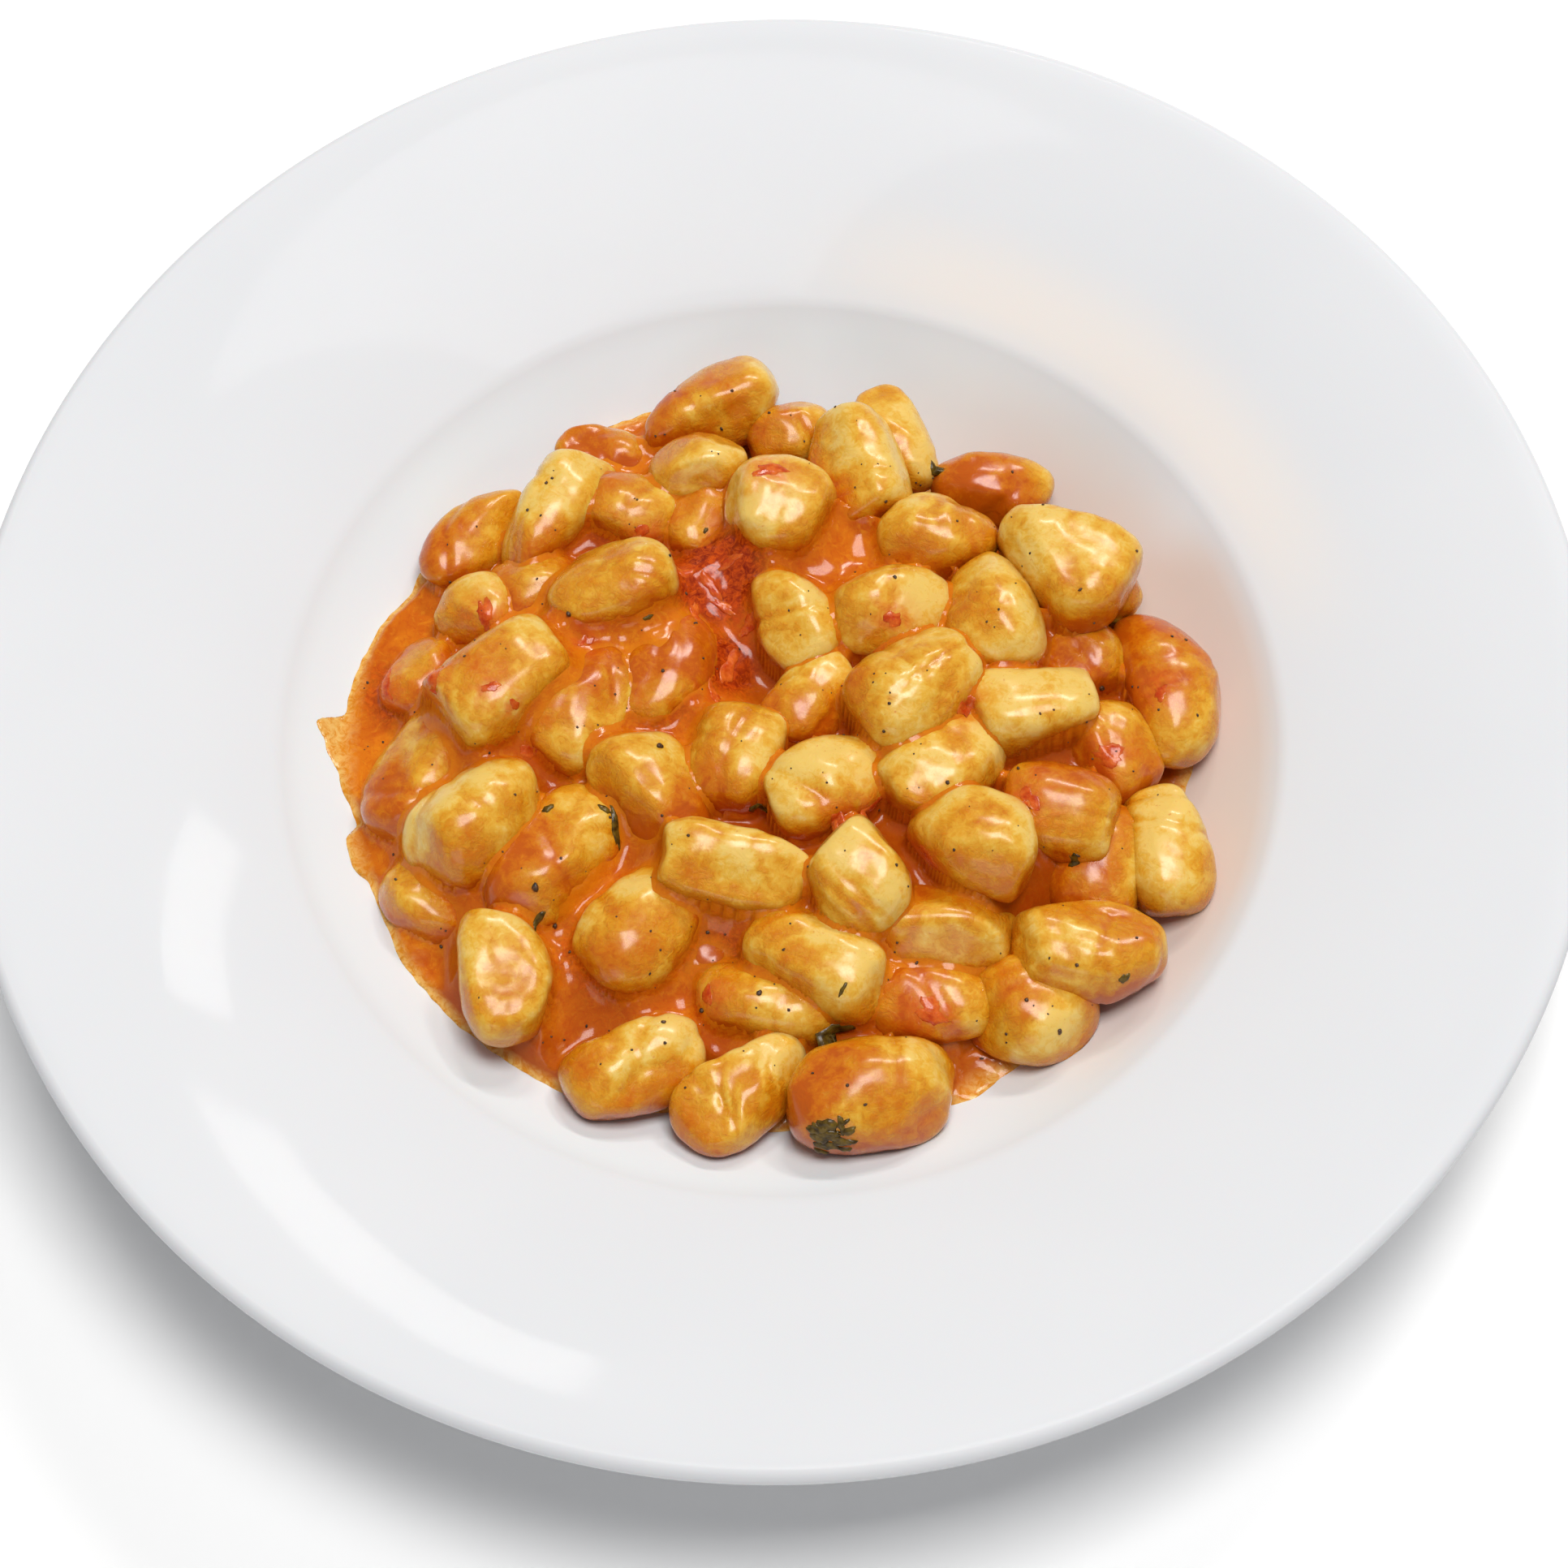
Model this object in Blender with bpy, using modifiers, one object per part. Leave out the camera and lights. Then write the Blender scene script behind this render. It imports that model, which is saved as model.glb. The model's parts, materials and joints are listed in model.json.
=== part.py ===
"""Potato gnocchi in tomato cream sauce, served in a wide-rimmed porcelain pasta bowl.

Three solids share one frame, in metres, with +Z up and the origin under the middle of the foot:
  plate         the turned porcelain bowl: foot ring, shallow round well, sloping rim, rolled edge
  sauce         the pool in the well, up to its level, with an uneven outline
  gnocchi_heap  the mound above that level: every dumpling as its own bump on a low core
"""

import math
from collections import namedtuple

import bmesh
import bpy
from mathutils import Matrix, Vector

MM = 0.001

# --- plate: driving sizes, in millimetres -------------------------------------------------
RIM_RADIUS = 150.0
RIM_HEIGHT = 45.4
RIM_OUTER_SLOPE = math.radians(12)
EDGE_ROLL = 2.4
EDGE_DEPTH = 5.6
LIP_RADIUS = 93.6
LIP_HEIGHT = 28.0
LIP_FILLET = 10.0
FLOOR_RADIUS = 40.0
FLOOR_HEIGHT = 8.0
WALL = 5.5
FOOT_RADIUS = 56.0
FOOT_WIDTH = 4.5
FOOT_RECESS = 3.0
PLATE_STEPS = 48

# --- food ---------------------------------------------------------------------------------
GAP = 0.3
SAUCE_LEVEL = 18.5
SAUCE_RADIUS = 76.0
SAUCE_OUTLINE_POINTS = 48
CORE_TOP = 30.0
CORE_RADIUS = 73.0
CORE_EDGE = 1.6
CORE_STEPS = 40
CLEAR_ABOVE = 70.0
GNOCCO_SEGMENTS = 8
GNOCCO_RINGS = 6
THICKNESS_SHARE = 0.92
FULLNESS = 1.08

# How each kind of dumpling departs from an ellipsoid: square is the superellipsoid exponent
# (1 is round, lower is boxier), taper narrows the far end, bend curves the length sideways.
Kind = namedtuple("Kind", "square taper bend")
KINDS = {
    "pillow": Kind(0.86, 0.10, 0.00),
    "block": Kind(0.66, 0.05, 0.00),
    "wedge": Kind(0.78, 0.38, 0.04),
    "bean": Kind(0.90, 0.12, 0.16),
    "ball": Kind(0.95, 0.04, 0.00),
    "crescent": Kind(0.94, 0.18, 0.30),
}

# Where the cook's spoon left each dumpling: centre x, y and height, heading of its length in
# degrees, length and width in millimetres, and its kind. Each group runs outwards from the top.
Gnocco = namedtuple("Gnocco", "x y z heading length width kind")
PERCHED = [
    Gnocco(35.0, -28.5, 35.5, 145, 23, 18, "wedge"),
    Gnocco(25.0, 2.0, 36.0, 35, 24, 19, "pillow"),
    Gnocco(-9.5, -31.5, 34.0, -15, 26, 14, "block"),
    Gnocco(13.0, -35.0, 34.0, -60, 20, 17, "ball"),
    Gnocco(2.5, 43.0, 34.0, 15, 20, 19, "ball"),
    Gnocco(22.0, 21.0, 33.0, 10, 22, 16, "pillow"),
    Gnocco(30.0, -12.5, 33.0, 40, 23, 17, "pillow"),
    Gnocco(41.0, 19.5, 33.0, 95, 24, 17, "wedge"),
    Gnocco(-30.0, 28.5, 33.0, 8, 23, 17, "pillow"),
    Gnocco(-51.0, 8.5, 33.0, 35, 25, 19, "block"),
    Gnocco(-56.3, -18.0, 30.5, 43, 26, 19, "pillow"),
    Gnocco(54.5, 29.5, 32.0, 145, 26, 21, "wedge"),
]
LAID = [
    Gnocco(8.5, -14.5, 32.0, 25, 23, 17, "pillow"),
    Gnocco(4.0, 20.5, 31.0, 110, 20, 15, "pillow"),
    Gnocco(-8.0, -6.5, 30.0, 68, 22, 17, "pillow"),
    Gnocco(6.5, 4.0, 29.0, 50, 21, 14, "bean"),
    Gnocco(-23.5, -13.0, 29.5, -52, 24, 17, "pillow"),
    Gnocco(-20.5, 13.0, 27.0, 70, 26, 17, "bean"),
    Gnocco(46.5, 0.0, 31.0, 10, 23, 18, "block"),
    Gnocco(51.0, -21.5, 30.0, -15, 21, 18, "block"),
    Gnocco(5.5, -48.0, 28.0, -33, 25, 16, "block"),
    Gnocco(31.5, 38.0, 31.0, 8, 22, 16, "pillow"),
    Gnocco(17.5, 53.5, 30.0, 105, 24, 16, "block"),
    Gnocco(-13.5, 56.0, 30.0, 5, 18, 13, "ball"),
    Gnocco(-26.5, 47.5, 27.0, -20, 18, 15, "pillow"),
    Gnocco(-41.5, 47.5, 29.0, 234, 27, 14, "wedge"),
    Gnocco(-56.0, 27.5, 26.0, 20, 15.5, 13.5, "ball"),
    Gnocco(-51.5, -48.5, 27.0, 102, 24, 17, "bean"),
    Gnocco(54.5, -48.0, 27.0, -8, 27, 18, "pillow"),
    Gnocco(27.5, -41.5, 26.5, -5, 27, 16, "block"),
]
SUNK = [
    Gnocco(-36.5, 5.5, 28.0, 60, 26, 18, "pillow"),
    Gnocco(-42.0, -25.5, 26.0, 65, 29, 19, "pillow"),
    Gnocco(-25.5, -39.0, 26.0, 44, 27, 19, "pillow"),
    Gnocco(-45.5, 31.0, 26.0, 15, 18, 14, "pillow"),
    Gnocco(-13.0, 46.0, 26.0, 80, 16, 13, "pillow"),
    Gnocco(17.0, 40.5, 25.0, 100, 18, 14, "pillow"),
    Gnocco(62.5, -7.0, 25.0, -60, 19, 15, "pillow"),
    Gnocco(58.5, -29.0, 22.0, 60, 24, 18, "pillow"),
    Gnocco(57.5, 13.0, 24.0, 20, 17, 15, "ball"),
    Gnocco(-14.0, -44.5, 21.0, 30, 14, 11, "ball"),
    Gnocco(-4.0, -53.5, 22.0, -12, 25, 16, "pillow"),
    Gnocco(25.5, -54.0, 21.5, -10, 23, 17, "pillow"),
    Gnocco(43.5, -57.0, 21.5, -30, 22, 19, "ball"),
]
OUTER = [
    Gnocco(74.0, 7.5, 24.0, 105, 31, 17, "crescent"),
    Gnocco(59.8, 32.5, 24.0, -58, 23, 15, "bean"),
    Gnocco(43.0, 52.0, 23.0, -10, 22, 13.5, "bean"),
    Gnocco(24.5, 63.0, 24.0, -65, 22, 13, "bean"),
    Gnocco(4.5, 65.5, 22.5, 20, 16, 13, "pillow"),
    Gnocco(-11.0, 71.5, 24.0, 205, 27, 16, "wedge"),
    Gnocco(-32.0, 64.0, 20.5, -10, 18, 12, "pillow"),
    Gnocco(-57.0, 46.0, 22.5, 50, 24, 13.5, "pillow"),
    Gnocco(-67.0, 16.0, 21.5, 60, 16, 13, "pillow"),
    Gnocco(-66.0, -5.5, 23.5, 60, 27, 18, "pillow"),
    Gnocco(-66.0, -30.0, 21.0, -40, 18, 13, "pillow"),
    Gnocco(-28.5, -65.5, 22.5, 22, 25, 16, "pillow"),
    Gnocco(-9.0, -71.0, 23.0, 38, 26, 15, "wedge"),
    Gnocco(14.0, -73.0, 24.5, 0, 29, 20, "pillow"),
    Gnocco(70.5, -27.0, 24.0, 100, 24, 16, "pillow"),
]


# --- scene helpers ------------------------------------------------------------------------
def clear_scene():
    for obj in list(bpy.data.objects):
        bpy.data.objects.remove(obj, do_unlink=True)


def collection(name):
    made = bpy.data.collections.new(name)
    bpy.context.scene.collection.children.link(made)
    return made


def material(name, colour, roughness):
    made = bpy.data.materials.new(name)
    made.use_nodes = True
    shader = made.node_tree.nodes["Principled BSDF"]
    shader.inputs["Base Color"].default_value = (*colour, 1.0)
    shader.inputs["Roughness"].default_value = roughness
    shader.inputs["Metallic"].default_value = 0.0
    return made


def link_mesh(name, mesh, home, finish=None):
    obj = bpy.data.objects.new(name, mesh)
    home.objects.link(obj)
    if finish is not None:
        mesh.materials.append(finish)
    return obj


def hide_helper(obj):
    obj.hide_render = True
    obj.display_type = "WIRE"


def smooth(obj, angle=40):
    obj.data.shade_smooth()
    obj.data.set_sharp_from_angle(angle=math.radians(angle))


def turned(name, profile, steps, home, finish=None):
    """A solid turned about Z from an open profile, given in millimetres from axis to axis."""
    mesh = bpy.data.meshes.new(name)
    points = [(r * MM, 0.0, z * MM) for r, z in profile]
    mesh.from_pydata(points, [(i, i + 1) for i in range(len(points) - 1)], [])
    obj = link_mesh(name, mesh, home, finish)
    screw = obj.modifiers.new("turn", "SCREW")
    screw.axis = "Z"
    screw.angle = math.tau
    screw.steps = screw.render_steps = steps
    screw.use_merge_vertices = True
    screw.merge_threshold = 0.00001
    screw.use_smooth_shade = True
    return obj


def boolean(obj, operation, solver="EXACT", **operand):
    cut = obj.modifiers.new(operation.lower(), "BOOLEAN")
    cut.operation = operation
    cut.solver = solver
    for key, value in operand.items():
        setattr(cut, key, value)
    return cut


# --- plate --------------------------------------------------------------------------------
def well_arc_radius():
    """Radius of the arc that leaves the flat floor level and climbs to the lip."""
    run, rise = LIP_RADIUS - FLOOR_RADIUS, LIP_HEIGHT - FLOOR_HEIGHT
    return (run**2 + rise**2) / (2 * rise)


def well_height(radius, lift=0.0):
    """Height of the well's surface at this radius; lift offsets it along its normal."""
    arc = well_arc_radius() - lift
    run = max(0.0, radius - FLOOR_RADIUS)
    return FLOOR_HEIGHT + lift + arc - math.sqrt(max(0.0, arc**2 - run**2))


def corner_arc(corner, before, after, fillet, count):
    """Points of the arc that rounds a corner between the directions before and after."""
    turn = after - before
    reach = fillet * math.tan(abs(turn) / 2)
    start = Vector(corner) - reach * Vector((math.cos(before), math.sin(before)))
    side = math.copysign(1.0, turn)
    centre = start + side * fillet * Vector((-math.sin(before), math.cos(before)))
    made = []
    for i in range(count + 1):
        heading = before + turn * i / count
        out = Vector((math.sin(heading), -math.cos(heading))) * side * fillet
        made.append(tuple(centre + out))
    return made


def rim_slope():
    return math.atan2(RIM_HEIGHT - LIP_HEIGHT, RIM_RADIUS - EDGE_ROLL - LIP_RADIUS)


def plate_top_profile():
    """Floor, well, lip and rim, from the axis out to the start of the rolled edge."""
    arc = well_arc_radius()
    lip_heading = math.asin((LIP_RADIUS - FLOOR_RADIUS) / arc)
    points = [(0.0, FLOOR_HEIGHT), (FLOOR_RADIUS, FLOOR_HEIGHT)]
    well_steps = 7
    for i in range(1, well_steps):
        heading = lip_heading * i / well_steps
        points.append(
            (FLOOR_RADIUS + arc * math.sin(heading), FLOOR_HEIGHT + arc * (1 - math.cos(heading)))
        )
    lip = (LIP_RADIUS, LIP_HEIGHT)
    rim_start = 2 * rim_slope() - RIM_OUTER_SLOPE
    points += corner_arc(lip, lip_heading, rim_start, LIP_FILLET, 3)
    rim_steps = 5
    span = RIM_RADIUS - EDGE_ROLL - LIP_RADIUS
    for i in range(2, rim_steps):
        t = i / rim_steps
        fall = math.tan(rim_start) * (t - t * t / 2) + math.tan(RIM_OUTER_SLOPE) * t * t / 2
        points.append((LIP_RADIUS + span * t, LIP_HEIGHT + span * fall))
    return points


def plate_edge_profile():
    """The rolled edge, from the crown of the rim round to its underside."""
    crown = (RIM_RADIUS - EDGE_ROLL, RIM_HEIGHT - EDGE_ROLL)
    points = []
    for degrees in (82, 54, 27, 0):
        a = math.radians(degrees)
        points.append((crown[0] + EDGE_ROLL * math.cos(a), crown[1] + EDGE_ROLL * math.sin(a)))
    points.append((RIM_RADIUS - 1.0, RIM_HEIGHT - EDGE_DEPTH))
    points.append((RIM_RADIUS - 4.0, RIM_HEIGHT - EDGE_DEPTH - 0.4))
    return points


def plate_under_profile():
    """Underside of the rim, outside of the well and the foot ring, back to the axis."""
    foot_inner = FOOT_RADIUS - FOOT_WIDTH
    points = [(120.0, 32.8), (LIP_RADIUS + 6.0, LIP_HEIGHT - WALL + 0.5)]
    for radius in (88.0, 75.0, 63.0):
        points.append((radius, well_height(radius - WALL / 2) - WALL))
    return points + [
        (FOOT_RADIUS + 1.5, 2.5),
        (FOOT_RADIUS, 0.0),
        (foot_inner, 0.0),
        (foot_inner - 1.5, FOOT_RECESS),
        (0.0, FOOT_RECESS),
    ]


def make_plate(home):
    profile = plate_top_profile() + plate_edge_profile() + plate_under_profile()
    finish = material("porcelain", (0.86, 0.87, 0.88), 0.12)
    return turned("plate", profile, PLATE_STEPS, home, finish)


# --- sauce --------------------------------------------------------------------------------
def sauce_radius(angle):
    """The pool reaches furthest to the left, where the spoon spread it, and is wavy all round."""
    lean = 3.0 * math.cos(angle - math.radians(195))
    waves = 0.9 * math.sin(3 * angle + 0.4) + 0.7 * math.sin(5 * angle + 2.0)
    ripples = 0.45 * math.sin(9 * angle + 1.1)
    return SAUCE_RADIUS + lean + waves + ripples


def sauce_outline(home):
    """A tall prism with the pool's outline, which trims the turned pool."""
    bm = bmesh.new()
    bottom, top = 0.0, CLEAR_ABOVE * MM
    ring = []
    for i in range(SAUCE_OUTLINE_POINTS):
        a = math.tau * i / SAUCE_OUTLINE_POINTS
        r = sauce_radius(a) * MM
        ring.append(bm.verts.new((r * math.cos(a), r * math.sin(a), bottom)))
    face = bm.faces.new(ring)
    bmesh.ops.recalc_face_normals(bm, faces=[face])
    made = bmesh.ops.extrude_face_region(bm, geom=[face])
    lifted = [v for v in made["geom"] if isinstance(v, bmesh.types.BMVert)]
    bmesh.ops.translate(bm, verts=lifted, vec=(0, 0, top - bottom))
    bmesh.ops.recalc_face_normals(bm, faces=bm.faces)
    mesh = bpy.data.meshes.new("sauce_outline")
    bm.to_mesh(mesh)
    bm.free()
    obj = link_mesh("sauce_outline", mesh, home)
    hide_helper(obj)
    return obj


def level_radius(level, lift):
    """Radius at which a level surface meets the well, lifted off it by this gap."""
    arc = well_arc_radius() - lift
    drop = arc - (level - FLOOR_HEIGHT - lift)
    return FLOOR_RADIUS + math.sqrt(arc**2 - drop**2)


def make_sauce(home, cutters):
    edge = level_radius(SAUCE_LEVEL, GAP)
    steps = 6
    profile = [(0.0, SAUCE_LEVEL), (edge, SAUCE_LEVEL)]
    for i in range(1, steps):
        radius = edge + (FLOOR_RADIUS - edge) * i / steps
        profile.append((radius, well_height(radius, GAP)))
    profile += [(FLOOR_RADIUS, FLOOR_HEIGHT + GAP), (0.0, FLOOR_HEIGHT + GAP)]
    finish = material("tomato_cream", (0.72, 0.24, 0.05), 0.3)
    sauce = turned("sauce", profile, PLATE_STEPS, home, finish)
    boolean(sauce, "INTERSECT", object=sauce_outline(cutters))
    return sauce


# --- gnocchi heap -------------------------------------------------------------------------
def power(value, exponent):
    return math.copysign(abs(value) ** exponent, value)


def shaped(point, kind):
    """A point of the unit ball moved onto the unit dumpling of this kind."""
    x, y, z = (power(c, kind.square) for c in point)
    stretch = 1.0 / max(1.0, (abs(x) ** 4 + abs(y) ** 4 + abs(z) ** 4) ** 0.25)
    x, y, z = x * stretch, y * stretch, z * stretch
    narrow = 1.0 - kind.taper * (x + 1.0) / 2.0
    return Vector((x, y * narrow + kind.bend * (x * x - 0.5), z * (narrow + 1.0) / 2.0))


def gnocco_object(spec, index, home):
    bm = bmesh.new()
    bmesh.ops.create_uvsphere(
        bm, u_segments=GNOCCO_SEGMENTS, v_segments=GNOCCO_RINGS, radius=1.0
    )
    half = Vector((spec.length, spec.width, spec.width * THICKNESS_SHARE)) * (FULLNESS * MM / 2)
    for vert in bm.verts:
        vert.co = shaped(vert.co, KINDS[spec.kind]) * half
    mesh = bpy.data.meshes.new(f"gnocco_{index:02d}")
    bm.to_mesh(mesh)
    bm.free()
    obj = link_mesh(mesh.name, mesh, home)
    obj.matrix_world = Matrix.Translation(
        Vector((spec.x, spec.y, spec.z)) * MM
    ) @ Matrix.Rotation(math.radians(spec.heading), 4, "Z")
    hide_helper(obj)
    return obj


def heap_space(home):
    """What the heap may fill: above the sauce and clear of the bowl's wall."""
    floor = SAUCE_LEVEL + GAP
    start = level_radius(floor, GAP)
    points = [(0.0, CLEAR_ABOVE), (LIP_RADIUS, CLEAR_ABOVE), (LIP_RADIUS, LIP_HEIGHT + 2.0)]
    steps = 5
    for i in range(steps + 1):
        radius = LIP_RADIUS - GAP + (start - LIP_RADIUS + GAP) * i / steps
        points.append((radius, well_height(radius, GAP) + (0.2 if i < steps else 0.0)))
    points.append((0.0, floor))
    space = turned("heap_space", points, PLATE_STEPS, home)
    hide_helper(space)
    return space


def make_heap(home, cutters, dumplings):
    """A low round core that every dumpling's bump is joined to, trimmed to the heap's space."""
    edge = SAUCE_LEVEL + CORE_EDGE
    steps = 8
    profile = []
    for i in range(steps + 1):
        share = i / steps
        profile.append((CORE_RADIUS * share, edge + (CORE_TOP - edge) * (1 - share**2.4)))
    profile += [(CORE_RADIUS, SAUCE_LEVEL - 1.0), (0.0, SAUCE_LEVEL - 1.0)]
    finish = material("gnocchi_dough", (0.80, 0.42, 0.12), 0.35)
    heap = turned("gnocchi_heap", profile, CORE_STEPS, home, finish)
    for index, spec in enumerate(PERCHED + LAID + SUNK + OUTER):
        gnocco_object(spec, index, dumplings)
    boolean(heap, "UNION", "MANIFOLD", operand_type="COLLECTION", collection=dumplings)
    boolean(heap, "INTERSECT", "MANIFOLD", object=heap_space(cutters))
    return heap


def main():
    clear_scene()
    home = collection("potato_gnocchi")
    cutters = collection("cutters")
    dumplings = collection("dumplings")
    make_plate(home)
    make_sauce(home, cutters)
    make_heap(home, cutters, dumplings)
    for obj in home.objects:
        smooth(obj)


main()
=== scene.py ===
"""Looks of the potato gnocchi in tomato cream sauce, in their wide-rimmed porcelain bowl.

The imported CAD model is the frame. Every CAD solid is replaced here by a finer mesh of the same
thing: the turned plate, the sauce as one closed body whose top sinks between the dumplings, and
each dumpling with its own shape. Tomato, herbs and pepper are laid on top. Lengths are in
millimetres until a mesh is made; lights, and the frame itself, are in metres.
"""

import json
import math
from collections import namedtuple

import bmesh
import bpy
import numpy as np
from mathutils import Matrix, Vector, noise
from mathutils.bvhtree import BVHTree

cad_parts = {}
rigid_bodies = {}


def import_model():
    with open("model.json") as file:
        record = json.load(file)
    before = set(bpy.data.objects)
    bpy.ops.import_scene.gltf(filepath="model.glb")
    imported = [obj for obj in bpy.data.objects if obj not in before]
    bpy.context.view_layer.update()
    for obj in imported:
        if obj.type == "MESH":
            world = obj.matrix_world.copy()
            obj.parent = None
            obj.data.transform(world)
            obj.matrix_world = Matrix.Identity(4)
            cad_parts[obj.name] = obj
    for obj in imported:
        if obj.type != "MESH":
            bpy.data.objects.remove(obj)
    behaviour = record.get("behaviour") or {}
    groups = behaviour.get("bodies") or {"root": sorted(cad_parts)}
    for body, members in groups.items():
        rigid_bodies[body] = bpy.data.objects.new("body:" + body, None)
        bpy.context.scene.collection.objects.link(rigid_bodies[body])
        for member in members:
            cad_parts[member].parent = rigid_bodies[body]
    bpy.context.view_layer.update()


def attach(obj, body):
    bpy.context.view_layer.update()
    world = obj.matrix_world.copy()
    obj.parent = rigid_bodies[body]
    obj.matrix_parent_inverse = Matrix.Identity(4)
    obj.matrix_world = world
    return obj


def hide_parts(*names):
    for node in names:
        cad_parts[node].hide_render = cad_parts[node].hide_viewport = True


MM = 0.001
SEED = 20260


def rows(kind, values):
    """Plain tuples as rows with named columns."""
    return [kind(*row) for row in values]


# --- plate, the same driving sizes as in CAD ---
RIM_RADIUS = 150.0
RIM_HEIGHT = 45.4
RIM_OUTER_SLOPE = math.radians(12)
EDGE_ROLL = 2.4
EDGE_DEPTH = 5.6
LIP_RADIUS = 93.6
LIP_HEIGHT = 28.0
LIP_FILLET = 10.0
FLOOR_RADIUS = 40.0
FLOOR_HEIGHT = 8.0
WALL = 5.5
FOOT_RADIUS = 56.0
FOOT_WIDTH = 4.5
FOOT_RECESS = 3.0
UNDERSIDE_BEND = (120.0, 32.8)
PLATE_SEGMENTS = 256

# --- camera: a close, steep view from the eater's side ---
EYE_DISTANCE = 800.0
EYE_ELEVATION = math.radians(63)
EYE_ROLL = math.radians(2.3)
EYE_TARGET = (0.0, 0.0, 30.0)
SENSOR = 36.0
LENS = 98.7
SHIFT = (0.0035, -0.0394)
# The level on which the places of toppings are given, as the eye sees them.
SIGHT_HEIGHT = 24.0

# --- dumplings ---
GNOCCO_CUTS = 22
THICKNESS_SHARE = 0.92
FULLNESS = 1.07
LUMPINESS = 0.045
PRESSED = 0.94
BELOW_RIM = 0.1
PLATE_GAP = 0.15

# How each kind departs from an ellipsoid: square is its exponent (1 is round, lower is boxier),
# taper narrows the far end, bend curves the length sideways, flats is how many faces neighbours
# press on, crease is the depth of its folds, and ends is how far its ends are cut off square.
Kind = namedtuple("Kind", "square taper bend flats crease ends")
KINDS = {
    "pillow": Kind(0.86, 0.12, 0.00, 8, 0.60, 0.05),
    "block": Kind(0.72, 0.06, 0.00, 5, 0.40, 0.15),
    "wedge": Kind(0.82, 0.44, 0.04, 7, 0.50, 0.05),
    "bean": Kind(0.90, 0.14, 0.15, 5, 0.50, 0.02),
    "ball": Kind(0.94, 0.05, 0.00, 9, 0.40, 0.00),
    "crescent": Kind(0.94, 0.18, 0.30, 3, 0.40, 0.00),
}

# Centre x, y, z, heading of the length in degrees, length, width, kind, and how much sauce
# coats it (0 is bare dough, 1 is hidden). The places are those of the solid in CAD.
Gnocco = namedtuple("Gnocco", "x y z heading length width kind coat")
UPPER = rows(Gnocco, (
    (35, -28.5, 35.5, 145, 23, 18, "wedge", 0.35),
    (25, 2, 36, 35, 24, 19, "pillow", 0.35),
    (-9.5, -31.5, 34, -15, 26, 14, "block", 0.28),
    (13, -35, 34, -60, 20, 17, "ball", 0.35),
    (2.5, 43, 34, 15, 20, 19, "ball", 0.3),
    (22, 21, 33, 10, 22, 16, "pillow", 0.26),
    (30, -12.5, 33, 40, 23, 17, "pillow", 0.36),
    (41, 19.5, 33, 95, 24, 17, "wedge", 0.35),
    (-30, 28.5, 33, 8, 23, 17, "pillow", 0.5),
    (-51, 8.5, 33, 35, 25, 19, "block", 0.42),
    (-56.3, -18, 30.5, 43, 26, 19, "pillow", 0.36),
    (54.5, 29.5, 32, 145, 26, 21, "wedge", 0.38),
    (8.5, -14.5, 32, 25, 23, 17, "pillow", 0.3),
    (4, 20.5, 31, 110, 20, 15, "pillow", 0.25),
    (-8, -6.5, 30, 68, 22, 17, "pillow", 0.45),
    (6.5, 4, 29, 50, 21, 14, "bean", 0.55),
    (-23.5, -13, 29.5, -52, 24, 17, "pillow", 0.62),
    (-20.5, 13, 27, 70, 26, 17, "bean", 1.06),
    (46.5, 0, 31, 10, 23, 18, "block", 0.28),
    (51, -21.5, 30, -15, 21, 18, "block", 0.62),
    (5.5, -48, 28, -33, 25, 16, "block", 0.28),
    (31.5, 38, 31, 8, 22, 16, "pillow", 0.25),
    (17.5, 53.5, 30, 105, 24, 16, "block", 0.32),
    (-13.5, 56, 30, 5, 18, 13, "ball", 0.58),
    (-26.5, 47.5, 27, -20, 18, 15, "pillow", 0.72),
    (-41.5, 47.5, 29, 234, 27, 14, "wedge", 0.28),
    (-56, 27.5, 26, 20, 15.5, 13.5, "ball", 0.45),
    (-51.5, -48.5, 27, 102, 24, 17, "bean", 0.34),
    (54.5, -48, 27, -8, 27, 18, "pillow", 0.56),
    (27.5, -41.5, 26.5, -5, 27, 16, "block", 0.5),
))
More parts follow.
